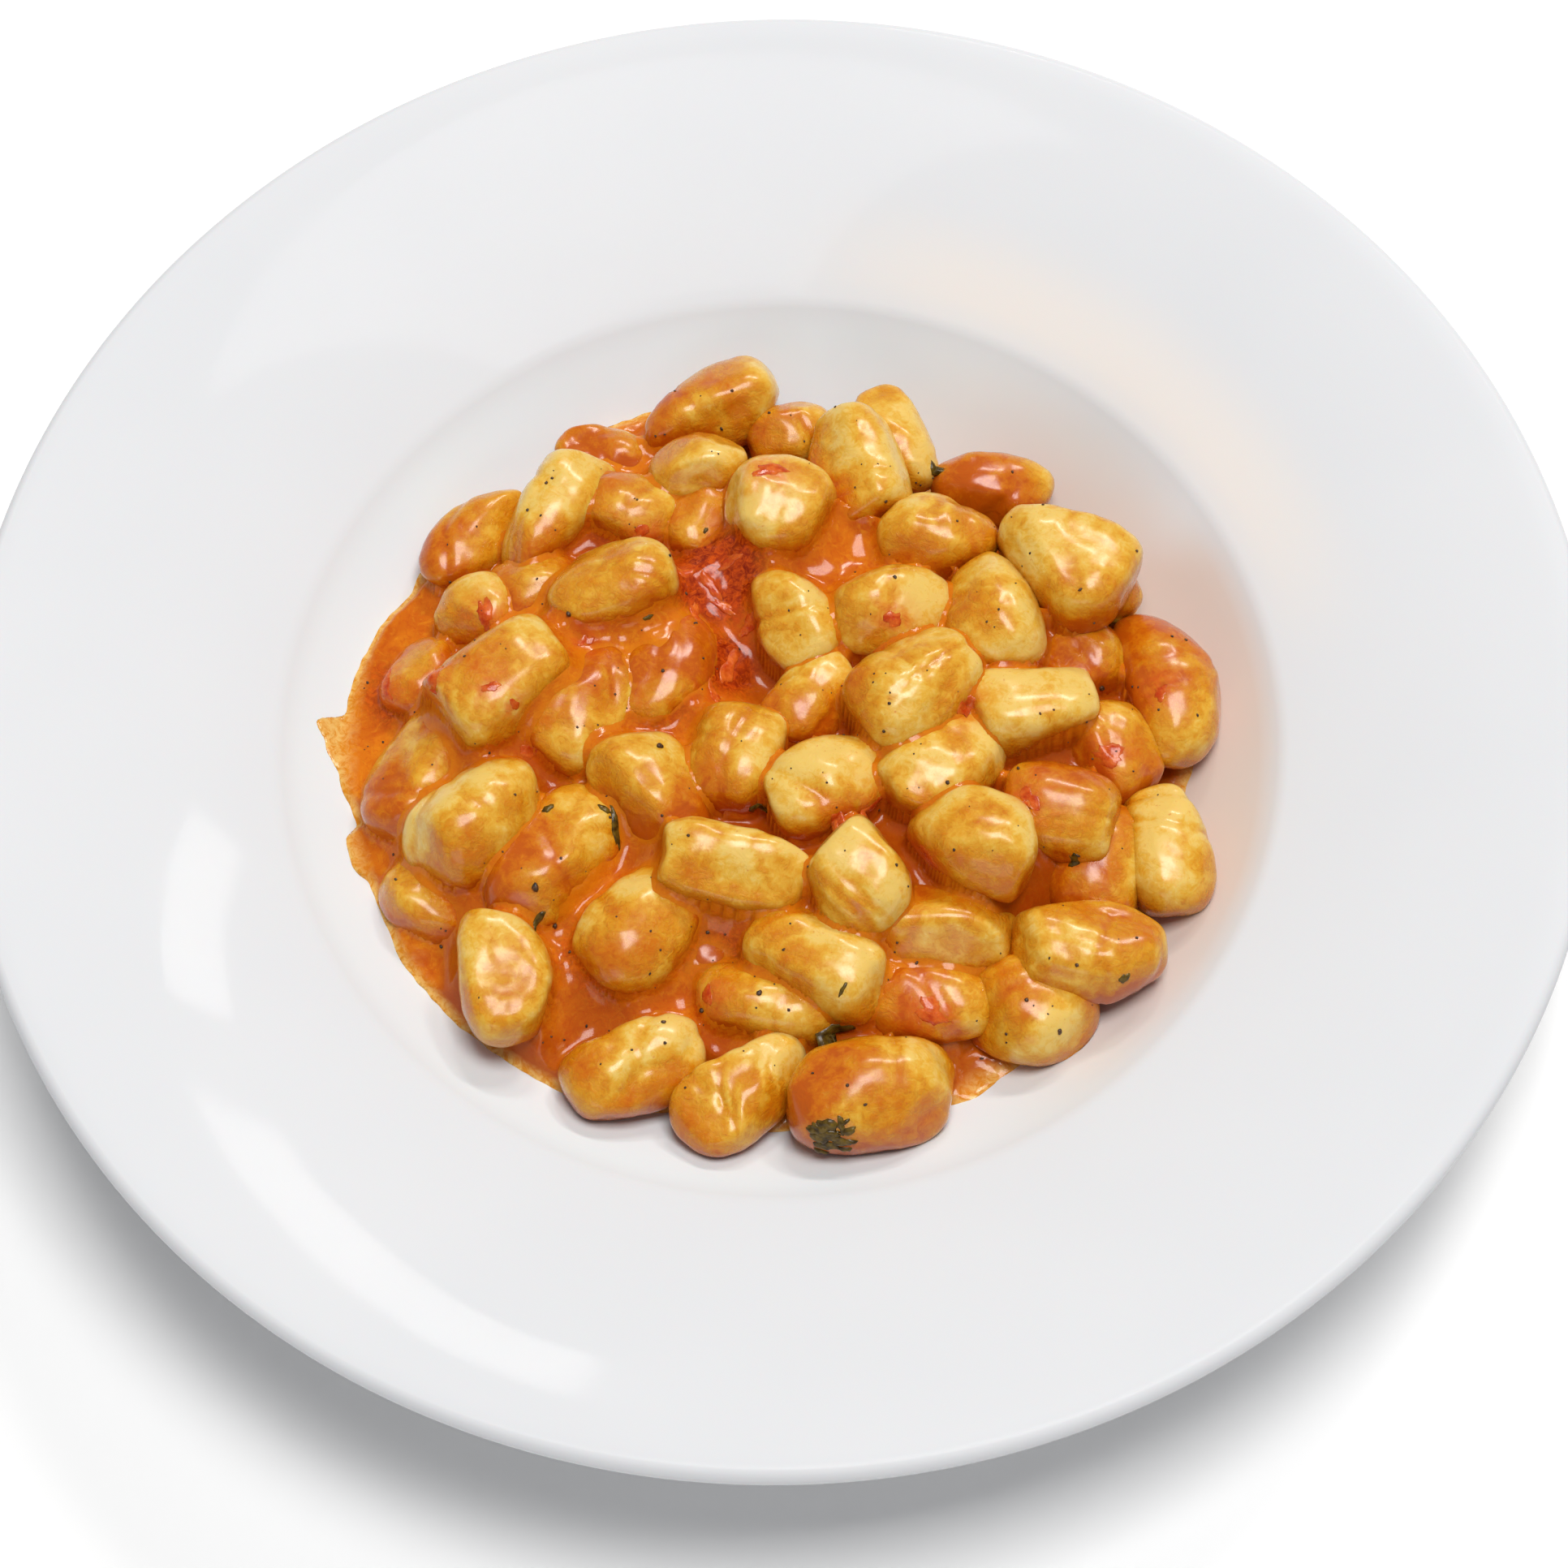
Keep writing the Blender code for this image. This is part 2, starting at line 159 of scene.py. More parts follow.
LOWER = rows(Gnocco, (
    (-36.5, 5.5, 28, 60, 26, 18, "pillow", 0.72),
    (-42, -25.5, 26, 232, 29, 19, "pillow", 0.75),
    (-25.5, -39, 26, 44, 27, 19, "pillow", 0.42),
    (-45.5, 31, 26, 15, 18, 14, "pillow", 0.6),
    (-13, 46, 26, 80, 16, 13, "pillow", 0.62),
    (17, 40.5, 25, 100, 18, 14, "pillow", 0.88),
    (62.5, -7, 25, -60, 19, 15, "pillow", 0.75),
    (58.5, -29, 22, 60, 24, 18, "pillow", 0.72),
    (57.5, 13, 24, 20, 17, 15, "ball", 0.4),
    (-14, -44.5, 21, 30, 14, 11, "ball", 0.92),
    (-4, -53.5, 22, -12, 25, 16, "pillow", 0.5),
    (25.5, -54, 21.5, -10, 23, 17, "pillow", 0.74),
    (43.5, -57, 21.5, -30, 22, 19, "ball", 0.55),
    (74, 7.5, 24, 105, 31, 17, "crescent", 0.92),
    (59.8, 32.5, 24, -58, 23, 15, "bean", 0.25),
    (43, 52, 23, -10, 22, 13.5, "bean", 0.82),
    (24.5, 63, 24, -65, 22, 13, "bean", 0.2),
    (4.5, 65.5, 22.5, 20, 16, 13, "pillow", 0.58),
    (-11, 71.5, 24, 205, 27, 16, "wedge", 0.58),
    (-32, 64, 20.5, -10, 18, 12, "pillow", 0.82),
    (-57, 46, 22.5, 50, 24, 13.5, "pillow", 0.62),
    (-67, 16, 21.5, 60, 16, 13, "pillow", 0.82),
    (-66, -5.5, 23.5, 60, 27, 18, "pillow", 0.74),
    (-66, -30, 21, -40, 18, 13, "pillow", 0.58),
    (-28.5, -65.5, 22.5, 22, 25, 16, "pillow", 0.46),
    (-9, -71, 23, 38, 26, 15, "wedge", 0.3),
    (14, -73, 24.5, 0, 29, 20, "pillow", 0.62),
    (70.5, -27, 24, 100, 24, 16, "pillow", 0.34),
))

# --- sauce ---
# The grid it is worked out on, and the rings that close it underneath.
SAUCE_STEP = 0.58
SAUCE_REACH = 89.0
SAUCE_RINGS = 10
UNDERLAP = 0.3
ABOVE_FOOD = 80.0
# How it bridges hollows and rounds the corners where it meets dumplings, soaked or nearly dry.
MENISCUS_RADIUS = 7.0
BRIDGE_REACH = 12.0
FILLET_WET = 3.4
FILLET_DRY = 1.1
# The film on the dumplings, how far up it creeps, and how deep it hides inside them beyond.
FILM = 0.50
FILM_REACH = 0.6
FILM_LEAST = 0.05
HIDDEN = 0.7
STEP_EASED = 0.22
# The smear on the plate, and its rounded edge, which ends just inside the porcelain.
SMEAR = 0.35
EDGE_HEIGHT = 1.5
EDGE_WIDTH = 1.7
EDGE_SUNK = 0.68
BANK = 1.6
BANK_LOW = 0.4
# The pool's level on either side, and how far the sauce hangs down away from the ladles.
POOL_LEFT = 20.5
POOL_RIGHT = 14.5
DRY_DROP = 9.5
DRY_WEIGHT = 0.35
LADLE_WEIGHT = 3.0
PULP_RELIEF = 0.8

# How far out the sauce reaches: direction in degrees from +X, and radius.
OUTLINE = (
    (0, 79), (8, 81), (18, 77), (30, 66), (62, 67), (80, 69), (96, 74), (108, 79), (120, 79),
    (130, 74.5), (140, 76.5), (147, 79.4), (152, 79.2), (160, 81.3), (168.5, 82.4), (172.5, 82.6),
    (175, 87.4), (177.5, 85.6), (182, 82.9), (188.8, 80.6), (191, 83), (194.7, 83.2), (198.2, 80.8),
    (205, 81.2), (210, 82), (219, 81.3), (230, 80.2), (240, 79.4), (247, 77.5), (254, 74.5),
    (262, 76.8), (270, 76), (281, 80.6), (288, 77), (294, 79), (300, 77.5), (307, 77), (318, 73.5),
    (330, 75), (341, 78.5), (350, 76.5),
)

# Where the sauce lies thick: centre x and y, radius, and how far its top hangs below the
# surface that bridges the dumplings.
Ladle = namedtuple("Ladle", "x y radius drop")
LADLES = rows(Ladle, (
    (-48, 28, 8, 4), (-36, 17, 8, 2.6), (-20, 14, 9, 1.2), (-37, 5, 8, 1.4), (-7, 31, 7, 2.2),
    (-14, 2, 6, 3), (-62, 4, 10, 4.2), (-32, -27, 11, 4.6), (-17, -48, 13, 4.6),
    (-44, -44, 11, 4.8), (-66, -18, 12, 4.4), (-34, 56, 12, 4.2), (16, 38, 6, 3), (14, 30, 6, 4),
    (26, -52, 8, 5),
))

# The sauce over its grid: places, height of its top, thickness over the plate, the surface that
# bridges the dumplings, share of pulp, film over the dumplings, and level away from them.
Surface = namedtuple("Surface", "x y height thickness bridged pulp film level")

# Where the sauce is coarse pulp: centre x and y, radius, and how coarse from 0 to 1.
Heap = namedtuple("Heap", "x y radius share")
PULP = rows(Heap, (
    (-11, 31, 9, 1), (-9, 14, 6, 0.9), (-22, 5, 7, 0.35), (-13, -46, 6, 0.55), (-34, -44, 9, 0.35),
    (-72, 14, 7, 0.5), (-30, 40, 8, 0.3),
))

# --- toppings ---
# A soft flake where the eye sees it: x and y on the level of sight, length, width, heading of
# its length in degrees, and thickness.
Bit = namedtuple("Bit", "x y length width heading thick")
TOMATO = rows(Bit, (
    (-55, 29, 7.5, 2.8, 100, 0.4), (-74, 14.5, 8, 3.2, 98, 0.4), (-65, 16, 5, 4, 60, 0.45),
    (-54, 13, 3.6, 2.2, 20, 0.22), (-49.5, 9, 2.6, 1.8, 130, 0.22), (22.5, 24, 4, 3, 10, 0.25),
    (35.5, 5, 4, 3, 60, 0.4), (61.5, -6.5, 6, 4.6, 150, 0.35), (72, 6, 3.2, 2.6, 80, 0.25),
    (26.5, -26, 5, 3.2, 140, 0.3), (25.5, -57, 6.4, 4.6, 150, 0.35), (15.5, -16.2, 7, 2.8, 15, 0.6),
    (10, -17.5, 3.5, 2.4, 70, 0.5), (0.5, 58, 8, 3, 12, 0.45), (-25, 45, 4, 2.8, 40, 0.35),
    (-47, -1, 3.4, 2.8, 30, 0.4), (46, -15, 5, 3.4, 110, 0.28), (-15, -52, 4, 2.6, 60, 0.4),
    (-5, 24, 6.5, 2.2, 55, 0.7), (-12, 33, 7, 2.4, 120, 0.8), (-8, 38, 5, 2, 20, 0.6),
    (-15, 27, 5.5, 1.9, 85, 0.75), (-9.5, 28, 6, 1.7, 140, 0.85), (-17, 36, 4.5, 2.2, 10, 0.6),
    (-9, 15, 7, 3.4, 65, 0.7), (-12, 9.5, 5, 2.4, 100, 0.6), (-36, 22, 3.6, 2, 30, 0.4),
))
HERBS = rows(Bit, (
    (-31, -17.5, 9, 1.5, -62, 0.35), (-33, -13.5, 3.4, 1.3, -35, 0.35),
    (-45.5, -35.5, 4.6, 1.4, 70, 0.35), (-43.5, -13, 3, 1.5, 40, 0.35),
    (-5, -14.5, 2.8, 2.2, 20, 0.4), (7, -60, 9, 2.6, 28, 0.5), (61, -52, 2.6, 1.8, 80, 0.35),
    (9.7, -52, 3, 0.9, 60, 0.3), (53.5, -28.5, 3, 1.2, 15, 0.35), (32, 56.5, 3.2, 1.8, -30, 0.35),
    (-24, 26.5, 2.2, 1, 10, 0.3), (-12.5, 45, 1.6, 0.8, 60, 0.3),
))
CLUSTER = Bit(6.5, -80.0, 7.0, 6.5, 0, 0.45)
CLUSTER_LEAVES = 26
FLAKE_SPOKES = 18
FLAKE_RINGS = 5
FLAKE_SUNK = 0.6
SETTLE = 3.0

Grain = namedtuple("Grain", "x y size")
PEPPER = rows(Grain, (
    (-46, -29, 1.5), (-39, 28, 1), (-42.5, -37, 1.1), (-22.5, -1, 1.1), (43, -55.5, 1.1),
    (48.5, -62, 1), (-5.5, -52, 1), (-16, -55, 1.1), (-23, -57, 0.9), (61, 7.5, 1),
))
LOOSE_PEPPER = 230
PEPPER_REACH = 80.0


# --- scene helpers ---
def linked(name, data):
    obj = bpy.data.objects.new(name, data)
    bpy.context.scene.collection.objects.link(obj)
    return obj


def mesh_object(name, points_mm, faces, finish):
    """A smooth mesh object from points in millimetres and faces as rows of indices."""
    mesh = bpy.data.meshes.new(name)
    points = np.asarray(points_mm, dtype=float) * MM
    mesh.from_pydata(points.tolist(), [], [tuple(int(i) for i in f) for f in faces])
    mesh.update()
    mesh.shade_smooth()
    mesh.materials.append(finish)
    return linked(name, mesh)


def hooped(first, hoops, last):
    """Faces of a skin from a first point (or none) through rings of indices to a last point."""
    faces = []
    for k in range(len(hoops[0])):
        after = (k + 1) % len(hoops[0])
        if first is not None:
            faces.append((first, hoops[0][k], hoops[0][after]))
        faces += [(a[k], b[k], b[after], a[after]) for a, b in zip(hoops, hoops[1:])]
        faces.append((hoops[-1][k], last, hoops[-1][after]))
    return faces


def evenly(first, count, end):
    """Rings of this many indices each, one after another from the first index to the end."""
    return [range(i, i + count) for i in range(first, end, count)]


def gathered(parts):
    """Points and faces of many bodies as those of one."""
    points, faces = [], []
    for body_points, body_faces in parts:
        start = len(points)
        points += body_points
        faces += [[start + i for i in f] for f in body_faces]
    return points, faces


def add_values(obj, name, values):
    """A number for each vertex, which the material reads by this name."""
    layer = obj.data.attributes.new(name, "FLOAT", "POINT")
    layer.data.foreach_set("value", np.asarray(values, dtype=np.float32))


def smoothstep(low, high, value):
    t = np.clip((value - low) / (high - low), 0.0, 1.0)
    return t * t * (3 - 2 * t)


def noise_at(points, scale, seed):
    """Smooth noise from -1 to 1 at each point, with features about scale millimetres wide."""
    shift = Vector((seed * 17.3, seed * -5.1, seed * 9.7))
    return np.array([noise.noise(Vector(p) / scale + shift) for p in points])


# --- plate ---
def well_arc_radius():
    run, rise = LIP_RADIUS - FLOOR_RADIUS, LIP_HEIGHT - FLOOR_HEIGHT
    return (run**2 + rise**2) / (2 * rise)


def well_height(radius):
    """Height of the well's surface at this radius, or at each of an array of radii."""
    arc = well_arc_radius()
    run = np.clip(np.asarray(radius, dtype=float) - FLOOR_RADIUS, 0.0, arc)
    return FLOOR_HEIGHT + arc - np.sqrt(arc**2 - run**2)


def corner_arc(corner, before, after, fillet, count):
    """Points of the arc that rounds a corner between the directions before and after."""
    turn = after - before
    reach = fillet * math.tan(abs(turn) / 2)
    start = Vector(corner) - reach * Vector((math.cos(before), math.sin(before)))
    side = math.copysign(1.0, turn)
    centre = start + side * fillet * Vector((-math.sin(before), math.cos(before)))
    made = []
    for i in range(count + 1):
        heading = before + turn * i / count
        out = Vector((math.sin(heading), -math.cos(heading))) * side * fillet
        made.append(tuple(centre + out))
    return made


def plate_profile():
    """The plate's section from the axis over the top, round the rolled edge and back under."""
    arc = well_arc_radius()
    lip_heading = math.asin((LIP_RADIUS - FLOOR_RADIUS) / arc)
    points = [(FLOOR_RADIUS * i / 6, FLOOR_HEIGHT) for i in range(7)]
    well_steps = 22
    for i in range(1, well_steps):
        a = lip_heading * i / well_steps
        points.append((FLOOR_RADIUS + arc * math.sin(a), FLOOR_HEIGHT + arc * (1 - math.cos(a))))
    span = RIM_RADIUS - EDGE_ROLL - LIP_RADIUS
    slope = math.atan2(RIM_HEIGHT - LIP_HEIGHT, span)
    rim_start = 2 * slope - RIM_OUTER_SLOPE
    points += corner_arc((LIP_RADIUS, LIP_HEIGHT), lip_heading, rim_start, LIP_FILLET, 8)
    rim_steps = 20
    for i in range(2, rim_steps):
        t = i / rim_steps
        fall = math.tan(rim_start) * (t - t * t / 2) + math.tan(RIM_OUTER_SLOPE) * t * t / 2
        points.append((LIP_RADIUS + span * t, LIP_HEIGHT + span * fall))
    crown = (RIM_RADIUS - EDGE_ROLL, RIM_HEIGHT - EDGE_ROLL)
    for degrees in range(82, -20, -9):
        a = math.radians(degrees)
        points.append((crown[0] + EDGE_ROLL * math.cos(a), crown[1] + EDGE_ROLL * math.sin(a)))
    under = RIM_HEIGHT - EDGE_DEPTH
    points += [(RIM_RADIUS - 1.6, under - 0.6), (RIM_RADIUS - 4.0, under - 0.9)]
    points += [UNDERSIDE_BEND, (LIP_RADIUS + 6.0, LIP_HEIGHT - WALL + 0.5)]
    for radius in np.linspace(90.0, 63.0, 8):
        points.append((radius, float(well_height(radius - WALL / 2)) - WALL))
    foot_inner = FOOT_RADIUS - FOOT_WIDTH
    points += [(FOOT_RADIUS + 1.5, 2.5), (FOOT_RADIUS + 0.3, 0.6), (FOOT_RADIUS - 0.6, 0.0)]
    points += [(foot_inner + 0.6, 0.0), (foot_inner - 0.3, 0.6), (foot_inner - 1.5, FOOT_RECESS)]
    points.append((0.0, FOOT_RECESS))
    return points


def lathe(profile, segments):
    """Points and faces of a body turned about Z, from a profile that starts and ends on Z."""
    turns = [math.tau * k / segments for k in range(segments)]
    points = [(0.0, 0.0, profile[0][1])]
    points += [(r * math.cos(a), r * math.sin(a), z) for r, z in profile[1:-1] for a in turns]
    last = len(points)
    points.append((0.0, 0.0, profile[-1][1]))
    return points, hooped(0, evenly(1, segments, last), last)


def make_plate(finish):
    """The plate, with what its colour reads: a well painted lighter, painted warm bounce light on
    the right wall, and a painted cream reflection beside the lip.
    """
    points, faces = lathe(plate_profile(), PLATE_SEGMENTS)
    plate = mesh_object("porcelain_plate", points, faces, finish)
    x, y = np.array(points)[:, :2].T
    radius, angle = np.hypot(x, y), np.arctan2(y, x)
    # The well is painted lighter than the rim, standing in for light that its wall lacks.
    well = 1.0 - smoothstep(LIP_RADIUS - 5.0, LIP_RADIUS + 2.0, radius)
    beyond = radius - outline_radius(np.degrees(angle) % 360)
    # Painted warm bounce light from the food on the right wall of the well, beside the sauce.
    painted_bounce = (1.0 - smoothstep(10.0, 32.0, beyond)) * smoothstep(0.2, 0.95, np.cos(angle - 0.1))
    # Painted cream reflection of the food on the glaze, just outside the lip towards the upper
    # right.
    band = smoothstep(LIP_RADIUS - 1.0, LIP_RADIUS + 4.0, radius)
    band *= 1.0 - smoothstep(LIP_RADIUS + 8.0, LIP_RADIUS + 24.0, radius)
    add_values(plate, "well", well)
    add_values(plate, "painted_bounce", 0.95 * painted_bounce * well)
    add_values(plate, "painted_food_reflection", band * smoothstep(0.72, 0.97, np.cos(angle - math.radians(46))))
    plate.data.set_sharp_from_angle(angle=math.radians(50))
    return plate


# --- dumplings ---
def cube_sphere(cuts):
    """Unit directions and quads of a sphere that starts as a cube, so it has no poles."""
    bm = bmesh.new()
    bmesh.ops.create_cube(bm, size=2.0)
    bmesh.ops.subdivide_edges(bm, edges=bm.edges[:], cuts=cuts, use_grid_fill=True)
    points = np.array([v.co[:] for v in bm.verts])
    quads = np.array([[v.index for v in f.verts] for f in bm.faces])
    bm.free()
    points = np.tan(points * (math.pi / 4))
    return points / np.linalg.norm(points, axis=1)[:, None], quads


def unit(vector):
    return np.array(vector) / np.linalg.norm(vector)


def gnocco_shape(spec, directions, rng):
    """Points of one dumpling about its own centre, its length along X, in millimetres."""
    kind = KINDS[spec.kind]
    body = np.sign(directions) * np.abs(directions) ** kind.square
    body /= np.maximum(1.0, (np.abs(body) ** 4).sum(axis=1) ** 0.25)[:, None]
    narrow = 1.0 - kind.taper * (body[:, 0] + 1.0) / 2.0
    body[:, 1] = body[:, 1] * narrow + kind.bend * (body[:, 0] ** 2 - 0.5)
    body[:, 2] = body[:, 2] * (narrow + 1.0) / 2.0
    half = np.array([spec.length, spec.width, spec.width * THICKNESS_SHARE]) / 2
    points = press_flats(body * half, half, kind, rng)
    points *= (1.0 + LUMPINESS * lumps(directions, rng))[:, None]
    sunk = folds(points, half, kind.crease, rng) + wrinkles(points, half, rng)
    points -= directions * sunk[:, None]
    return fill_out(points, half)


def fill_out(points, half):
    """Brings the finished shape back to its full length, width and thickness."""
    low, high = points.min(axis=0), points.max(axis=0)
    return (points - (low + high) / 2) * (2 * FULLNESS * half / (high - low))


def press(points, facing, share, softness):
    """Flattens the body softly against one plane, at this share of its reach that way."""
    over = points @ facing - (points @ facing).max() * share
    kept = softness * np.log1p(np.exp(np.clip(over / softness, -30, 30)))
    return points - np.outer(kept * PRESSED, facing)


def press_flats(points, half, kind, rng):
    """Presses the faces where it was cut, and those where it lies on its neighbours."""
    for end in (-1.0, 1.0):
        facing = unit([end, rng.normal() * 0.12, rng.normal() * 0.12])
        points = press(points, facing, 1.0 - kind.ends, 0.08 * half[1])
    for _ in range(kind.flats):
        facing = unit(rng.normal(size=3) * (0.55, 1.0, 1.0))
        softness = rng.uniform(0.05, 0.12) * half[1]
        points = press(points, facing, rng.uniform(0.79, 0.94), softness)
    return points


def lumps(directions, rng):
    """A slow swelling and sinking over the whole dumpling, about from -1 to 1."""
    total = np.zeros(len(directions))
    for _ in range(5):
        wave = unit(rng.normal(size=3)) * rng.uniform(1.6, 4.2)
        total += np.sin(directions @ wave + rng.uniform(0, math.tau)) / 2.2
    return total


def folds(points, half, depth, rng):
    """Grooves left by the fork and by handling: how far each point sinks."""
    sunk = np.zeros(len(points))
    for _ in range(rng.integers(1, 4)):
        across = unit([rng.normal(), rng.normal() * 0.8, rng.normal() * 0.3])
        place = rng.uniform(-0.5, 0.5) * half[0]
        wave = 0.8 * np.sin(points @ rng.normal(size=3) * 0.28 + rng.uniform(0, 6))
        away = (points @ across - place + wave) / rng.uniform(0.8, 1.7)
        side = unit(rng.normal(size=3) * 0.7 + (0.0, 0.0, 0.8))
        fade = smoothstep(0.0, 0.5 * half[1], points @ side)
        sunk += depth * rng.uniform(0.3, 0.85) * np.exp(-(away**2)) * fade
    return sunk


def wrinkles(points, half, rng):
    """A patch of fine parallel wrinkles where the boiled skin has gathered."""
    along = unit(rng.normal(size=3))
    warp = 1.1 * np.sin(points @ rng.normal(size=3) * 0.35 + rng.uniform(0, 6))
    ridges = np.sin((points @ along + warp) * math.tau / rng.uniform(3.0, 4.4))
    centre = rng.normal(size=3) * (0.5, 0.5, 0.2) + (0.0, 0.0, 0.8)
    away = np.linalg.norm(points / half - centre, axis=1)
    return rng.uniform(0.0, 0.36) ** 2 * (ridges + 0.4) * (1.0 - smoothstep(0.35, 0.95, away))


def placed(spec, points, rng):
    """The dumpling turned to its heading, leaned and rolled at random, and put in its place."""
    lean = Matrix.Rotation(math.radians(rng.uniform(-9, 9)), 3, "Y")
    roll = Matrix.Rotation(math.radians(rng.uniform(-25, 25)), 3, "X")
    turn = Matrix.Rotation(math.radians(spec.heading), 3, "Z")
    matrix = np.array(turn @ lean @ roll)
    return points @ matrix.T + (spec.x, spec.y, spec.z)


def keep_off_plate(points):
    """Moves points that would pass into the porcelain up to its surface."""
    radius = np.hypot(points[:, 0], points[:, 1])
    floor = well_height(np.minimum(radius, LIP_RADIUS)) + PLATE_GAP
    points[:, 2] = np.maximum(points[:, 2], floor)
    return points


def sauce_and_shade_side(spec, points, rng):
    """From -1 to 1 across the dumpling, towards the side that the sauce ran to, mostly down and
    away from the light, where its darker coat is partly painted shade.
    """
    heading = math.radians(rng.normal(215, 55))
    away = (math.cos(heading), math.sin(heading), -0.4)
    return (points - (spec.x, spec.y, spec.z)) @ away / (spec.width / 2)


def gnocchi_mesh(specs, seed):
    """Points, quads, coat, side and tone of a group of dumplings, all in one mesh."""
    directions, quads = cube_sphere(GNOCCO_CUTS)
    rng = np.random.default_rng(seed)
    made = {"points": [], "quads": [], "coat": [], "side": [], "tone": []}
    start = 0
    for spec in specs:
        points = placed(spec, gnocco_shape(spec, directions, rng), rng)
        made["points"].append(keep_off_plate(points))
        made["quads"].append(quads + start)
        made["coat"].append(np.full(len(points), spec.coat))
        made["side"].append(sauce_and_shade_side(spec, points, rng))
        made["tone"].append(np.full(len(points), rng.uniform(0, 1)))
        start += len(points)
    return {key: np.concatenate(rows) for key, rows in made.items()}


def hollowness(points, quads):
    """Above zero in hollows and below zero on ridges, from each point's neighbours."""
    total = np.zeros_like(points)
    count = np.zeros(len(points))
    for i in range(4):
        for j in (1, 3):
            np.add.at(total, quads[:, i], points[quads[:, (i + j) % 4]])
            np.add.at(count, quads[:, i], 1)
    towards = total / count[:, None] - points
    bent = (towards * vertex_normals(points, quads)).sum(axis=1)
    return (bent - np.median(bent)) / np.std(bent)


def roughen(group, seed):
    """Makes the boiled surface slightly uneven, along each point's outward direction."""
    points = group["points"]
    rough = 0.15 * noise_at(points, 2.4, seed) + 0.30 * noise_at(points, 5.5, seed + 1)
    normals = vertex_normals(points, group["quads"])
    points = points + normals * rough[:, None]
    points[:, 2] = np.minimum(points[:, 2], RIM_HEIGHT - BELOW_RIM)
    group["points"] = points


def vertex_normals(points, quads):
    a, b, c, d = (points[quads[:, i]] for i in range(4))
    face = np.cross(c - a, d - b)
    total = np.zeros_like(points)
    for i in range(4):
        np.add.at(total, quads[:, i], face)
    return total / np.maximum(np.linalg.norm(total, axis=1), 1e-9)[:, None]


# --- sauce ---
def grid_heights(tree, coordinates, base):
    """Height of the dumplings' top over a square grid, or of the plate where there is none."""
    heights = base.copy()
    down = Vector((0, 0, -1))
    for i, x in enumerate(coordinates):
        for j, y in enumerate(coordinates):
            if x * x + y * y < SAUCE_REACH**2:
                hit = tree.ray_cast(Vector((x, y, ABOVE_FOOD)), down)[0]
                if hit is not None:
                    heights[i, j] = max(heights[i, j], hit.z)
    return heights


def closed(field, reach, fall):
    """The field with its hollows filled as far as a shape that rolls over it can't reach.

    fall gives how far the shape's face falls away, from the square of the distance out.
    """
    cells = int(reach / SAUCE_STEP)
    for better, sign in ((np.maximum, -1), (np.minimum, 1)):
        wide = np.pad(field, cells, mode="edge")
        for i in range(2 * cells + 1):
            for j in range(2 * cells + 1):
                part = wide[i : i + len(field), j : j + len(field)]
                dip = fall(((i - cells) ** 2 + (j - cells) ** 2) * SAUCE_STEP**2)
                field = better(field, part + sign * dip)
    return field


def bridge(tops):
    """The surface over the dumplings' hollows, curved as a thick liquid's is."""
    return closed(tops, BRIDGE_REACH, lambda square: square / (2 * MENISCUS_RADIUS))


def rolled(field, radius):
    """The surface that a ball of this radius can touch as it rolls over the field."""

    def fall(square):
        return radius - math.sqrt(radius**2 - square) if square < radius**2 else math.inf

    return closed(field, radius, fall)


def blur(field, cells):
    """The field smoothed over about this many cells."""
    kernel = np.exp(-0.5 * (np.arange(-3 * cells, 3 * cells + 1) / cells) ** 2)
    kernel /= kernel.sum()
    pad = 3 * cells
    for axis in (0, 1):
        wide = np.pad(field, [(pad, pad) if a == axis else (0, 0) for a in (0, 1)], mode="edge")
        field = sum(
            k * np.take(wide, np.arange(i, i + field.shape[axis]), axis=axis)
            for i, k in enumerate(kernel)
        )
    return field


def outline_radius(angles):
    """The sauce's reach in each direction, in degrees, eased between the named places."""
    direction, radius = np.array(OUTLINE, dtype=float).T
    direction = np.concatenate([direction - 360, direction, direction + 360])
    radius = np.tile(radius, 3)
    place = np.clip(np.searchsorted(direction, angles) - 1, 0, len(direction) - 2)
    share = (angles - direction[place]) / (direction[place + 1] - direction[place])
    share = share * share * (3 - 2 * share)
    return radius[place] + (radius[place + 1] - radius[place]) * share


def sauce_drop(x, y):
    """How far the sauce hangs below the bridging surface, blended between the ladles."""
    weight, total = DRY_WEIGHT, DRY_WEIGHT * DRY_DROP
    for ladle in LADLES:
        away = ((x - ladle.x) ** 2 + (y - ladle.y) ** 2) / ladle.radius**2
        share = LADLE_WEIGHT * np.exp(-away)
        weight = weight + share
        total = total + share * ladle.drop
    return total / weight


def cling(tops, height, drop, uneven):
    """The sauce's top where it meets the dumplings: round corners and a film that thins out."""
    wetness = 1.0 - smoothstep(2.0, 6.8, drop)
    above = (tops - height + 0.7 * uneven) / (0.7 + FILM_REACH * wetness * drop)
    bare = smoothstep(0.0, 1.0, above) * smoothstep(0.8, 2.2, drop)
    film = (FILM * (0.15 + wetness) + HIDDEN) * (1.0 - bare) - HIDDEN
    base = np.maximum(tops + np.maximum(film, 0.0), height)
    wet, dry = rolled(base, FILLET_WET), rolled(base, FILLET_DRY)
    corner = dry + (wet - dry) * wetness
    return np.where(corner > tops + FILM_LEAST, corner, tops + film)


def grid_noise(x, y, scale, seed):
    flat = np.stack([x.ravel(), y.ravel(), np.zeros(x.size)], axis=1)
    return noise_at(flat, scale, seed).reshape(x.shape)


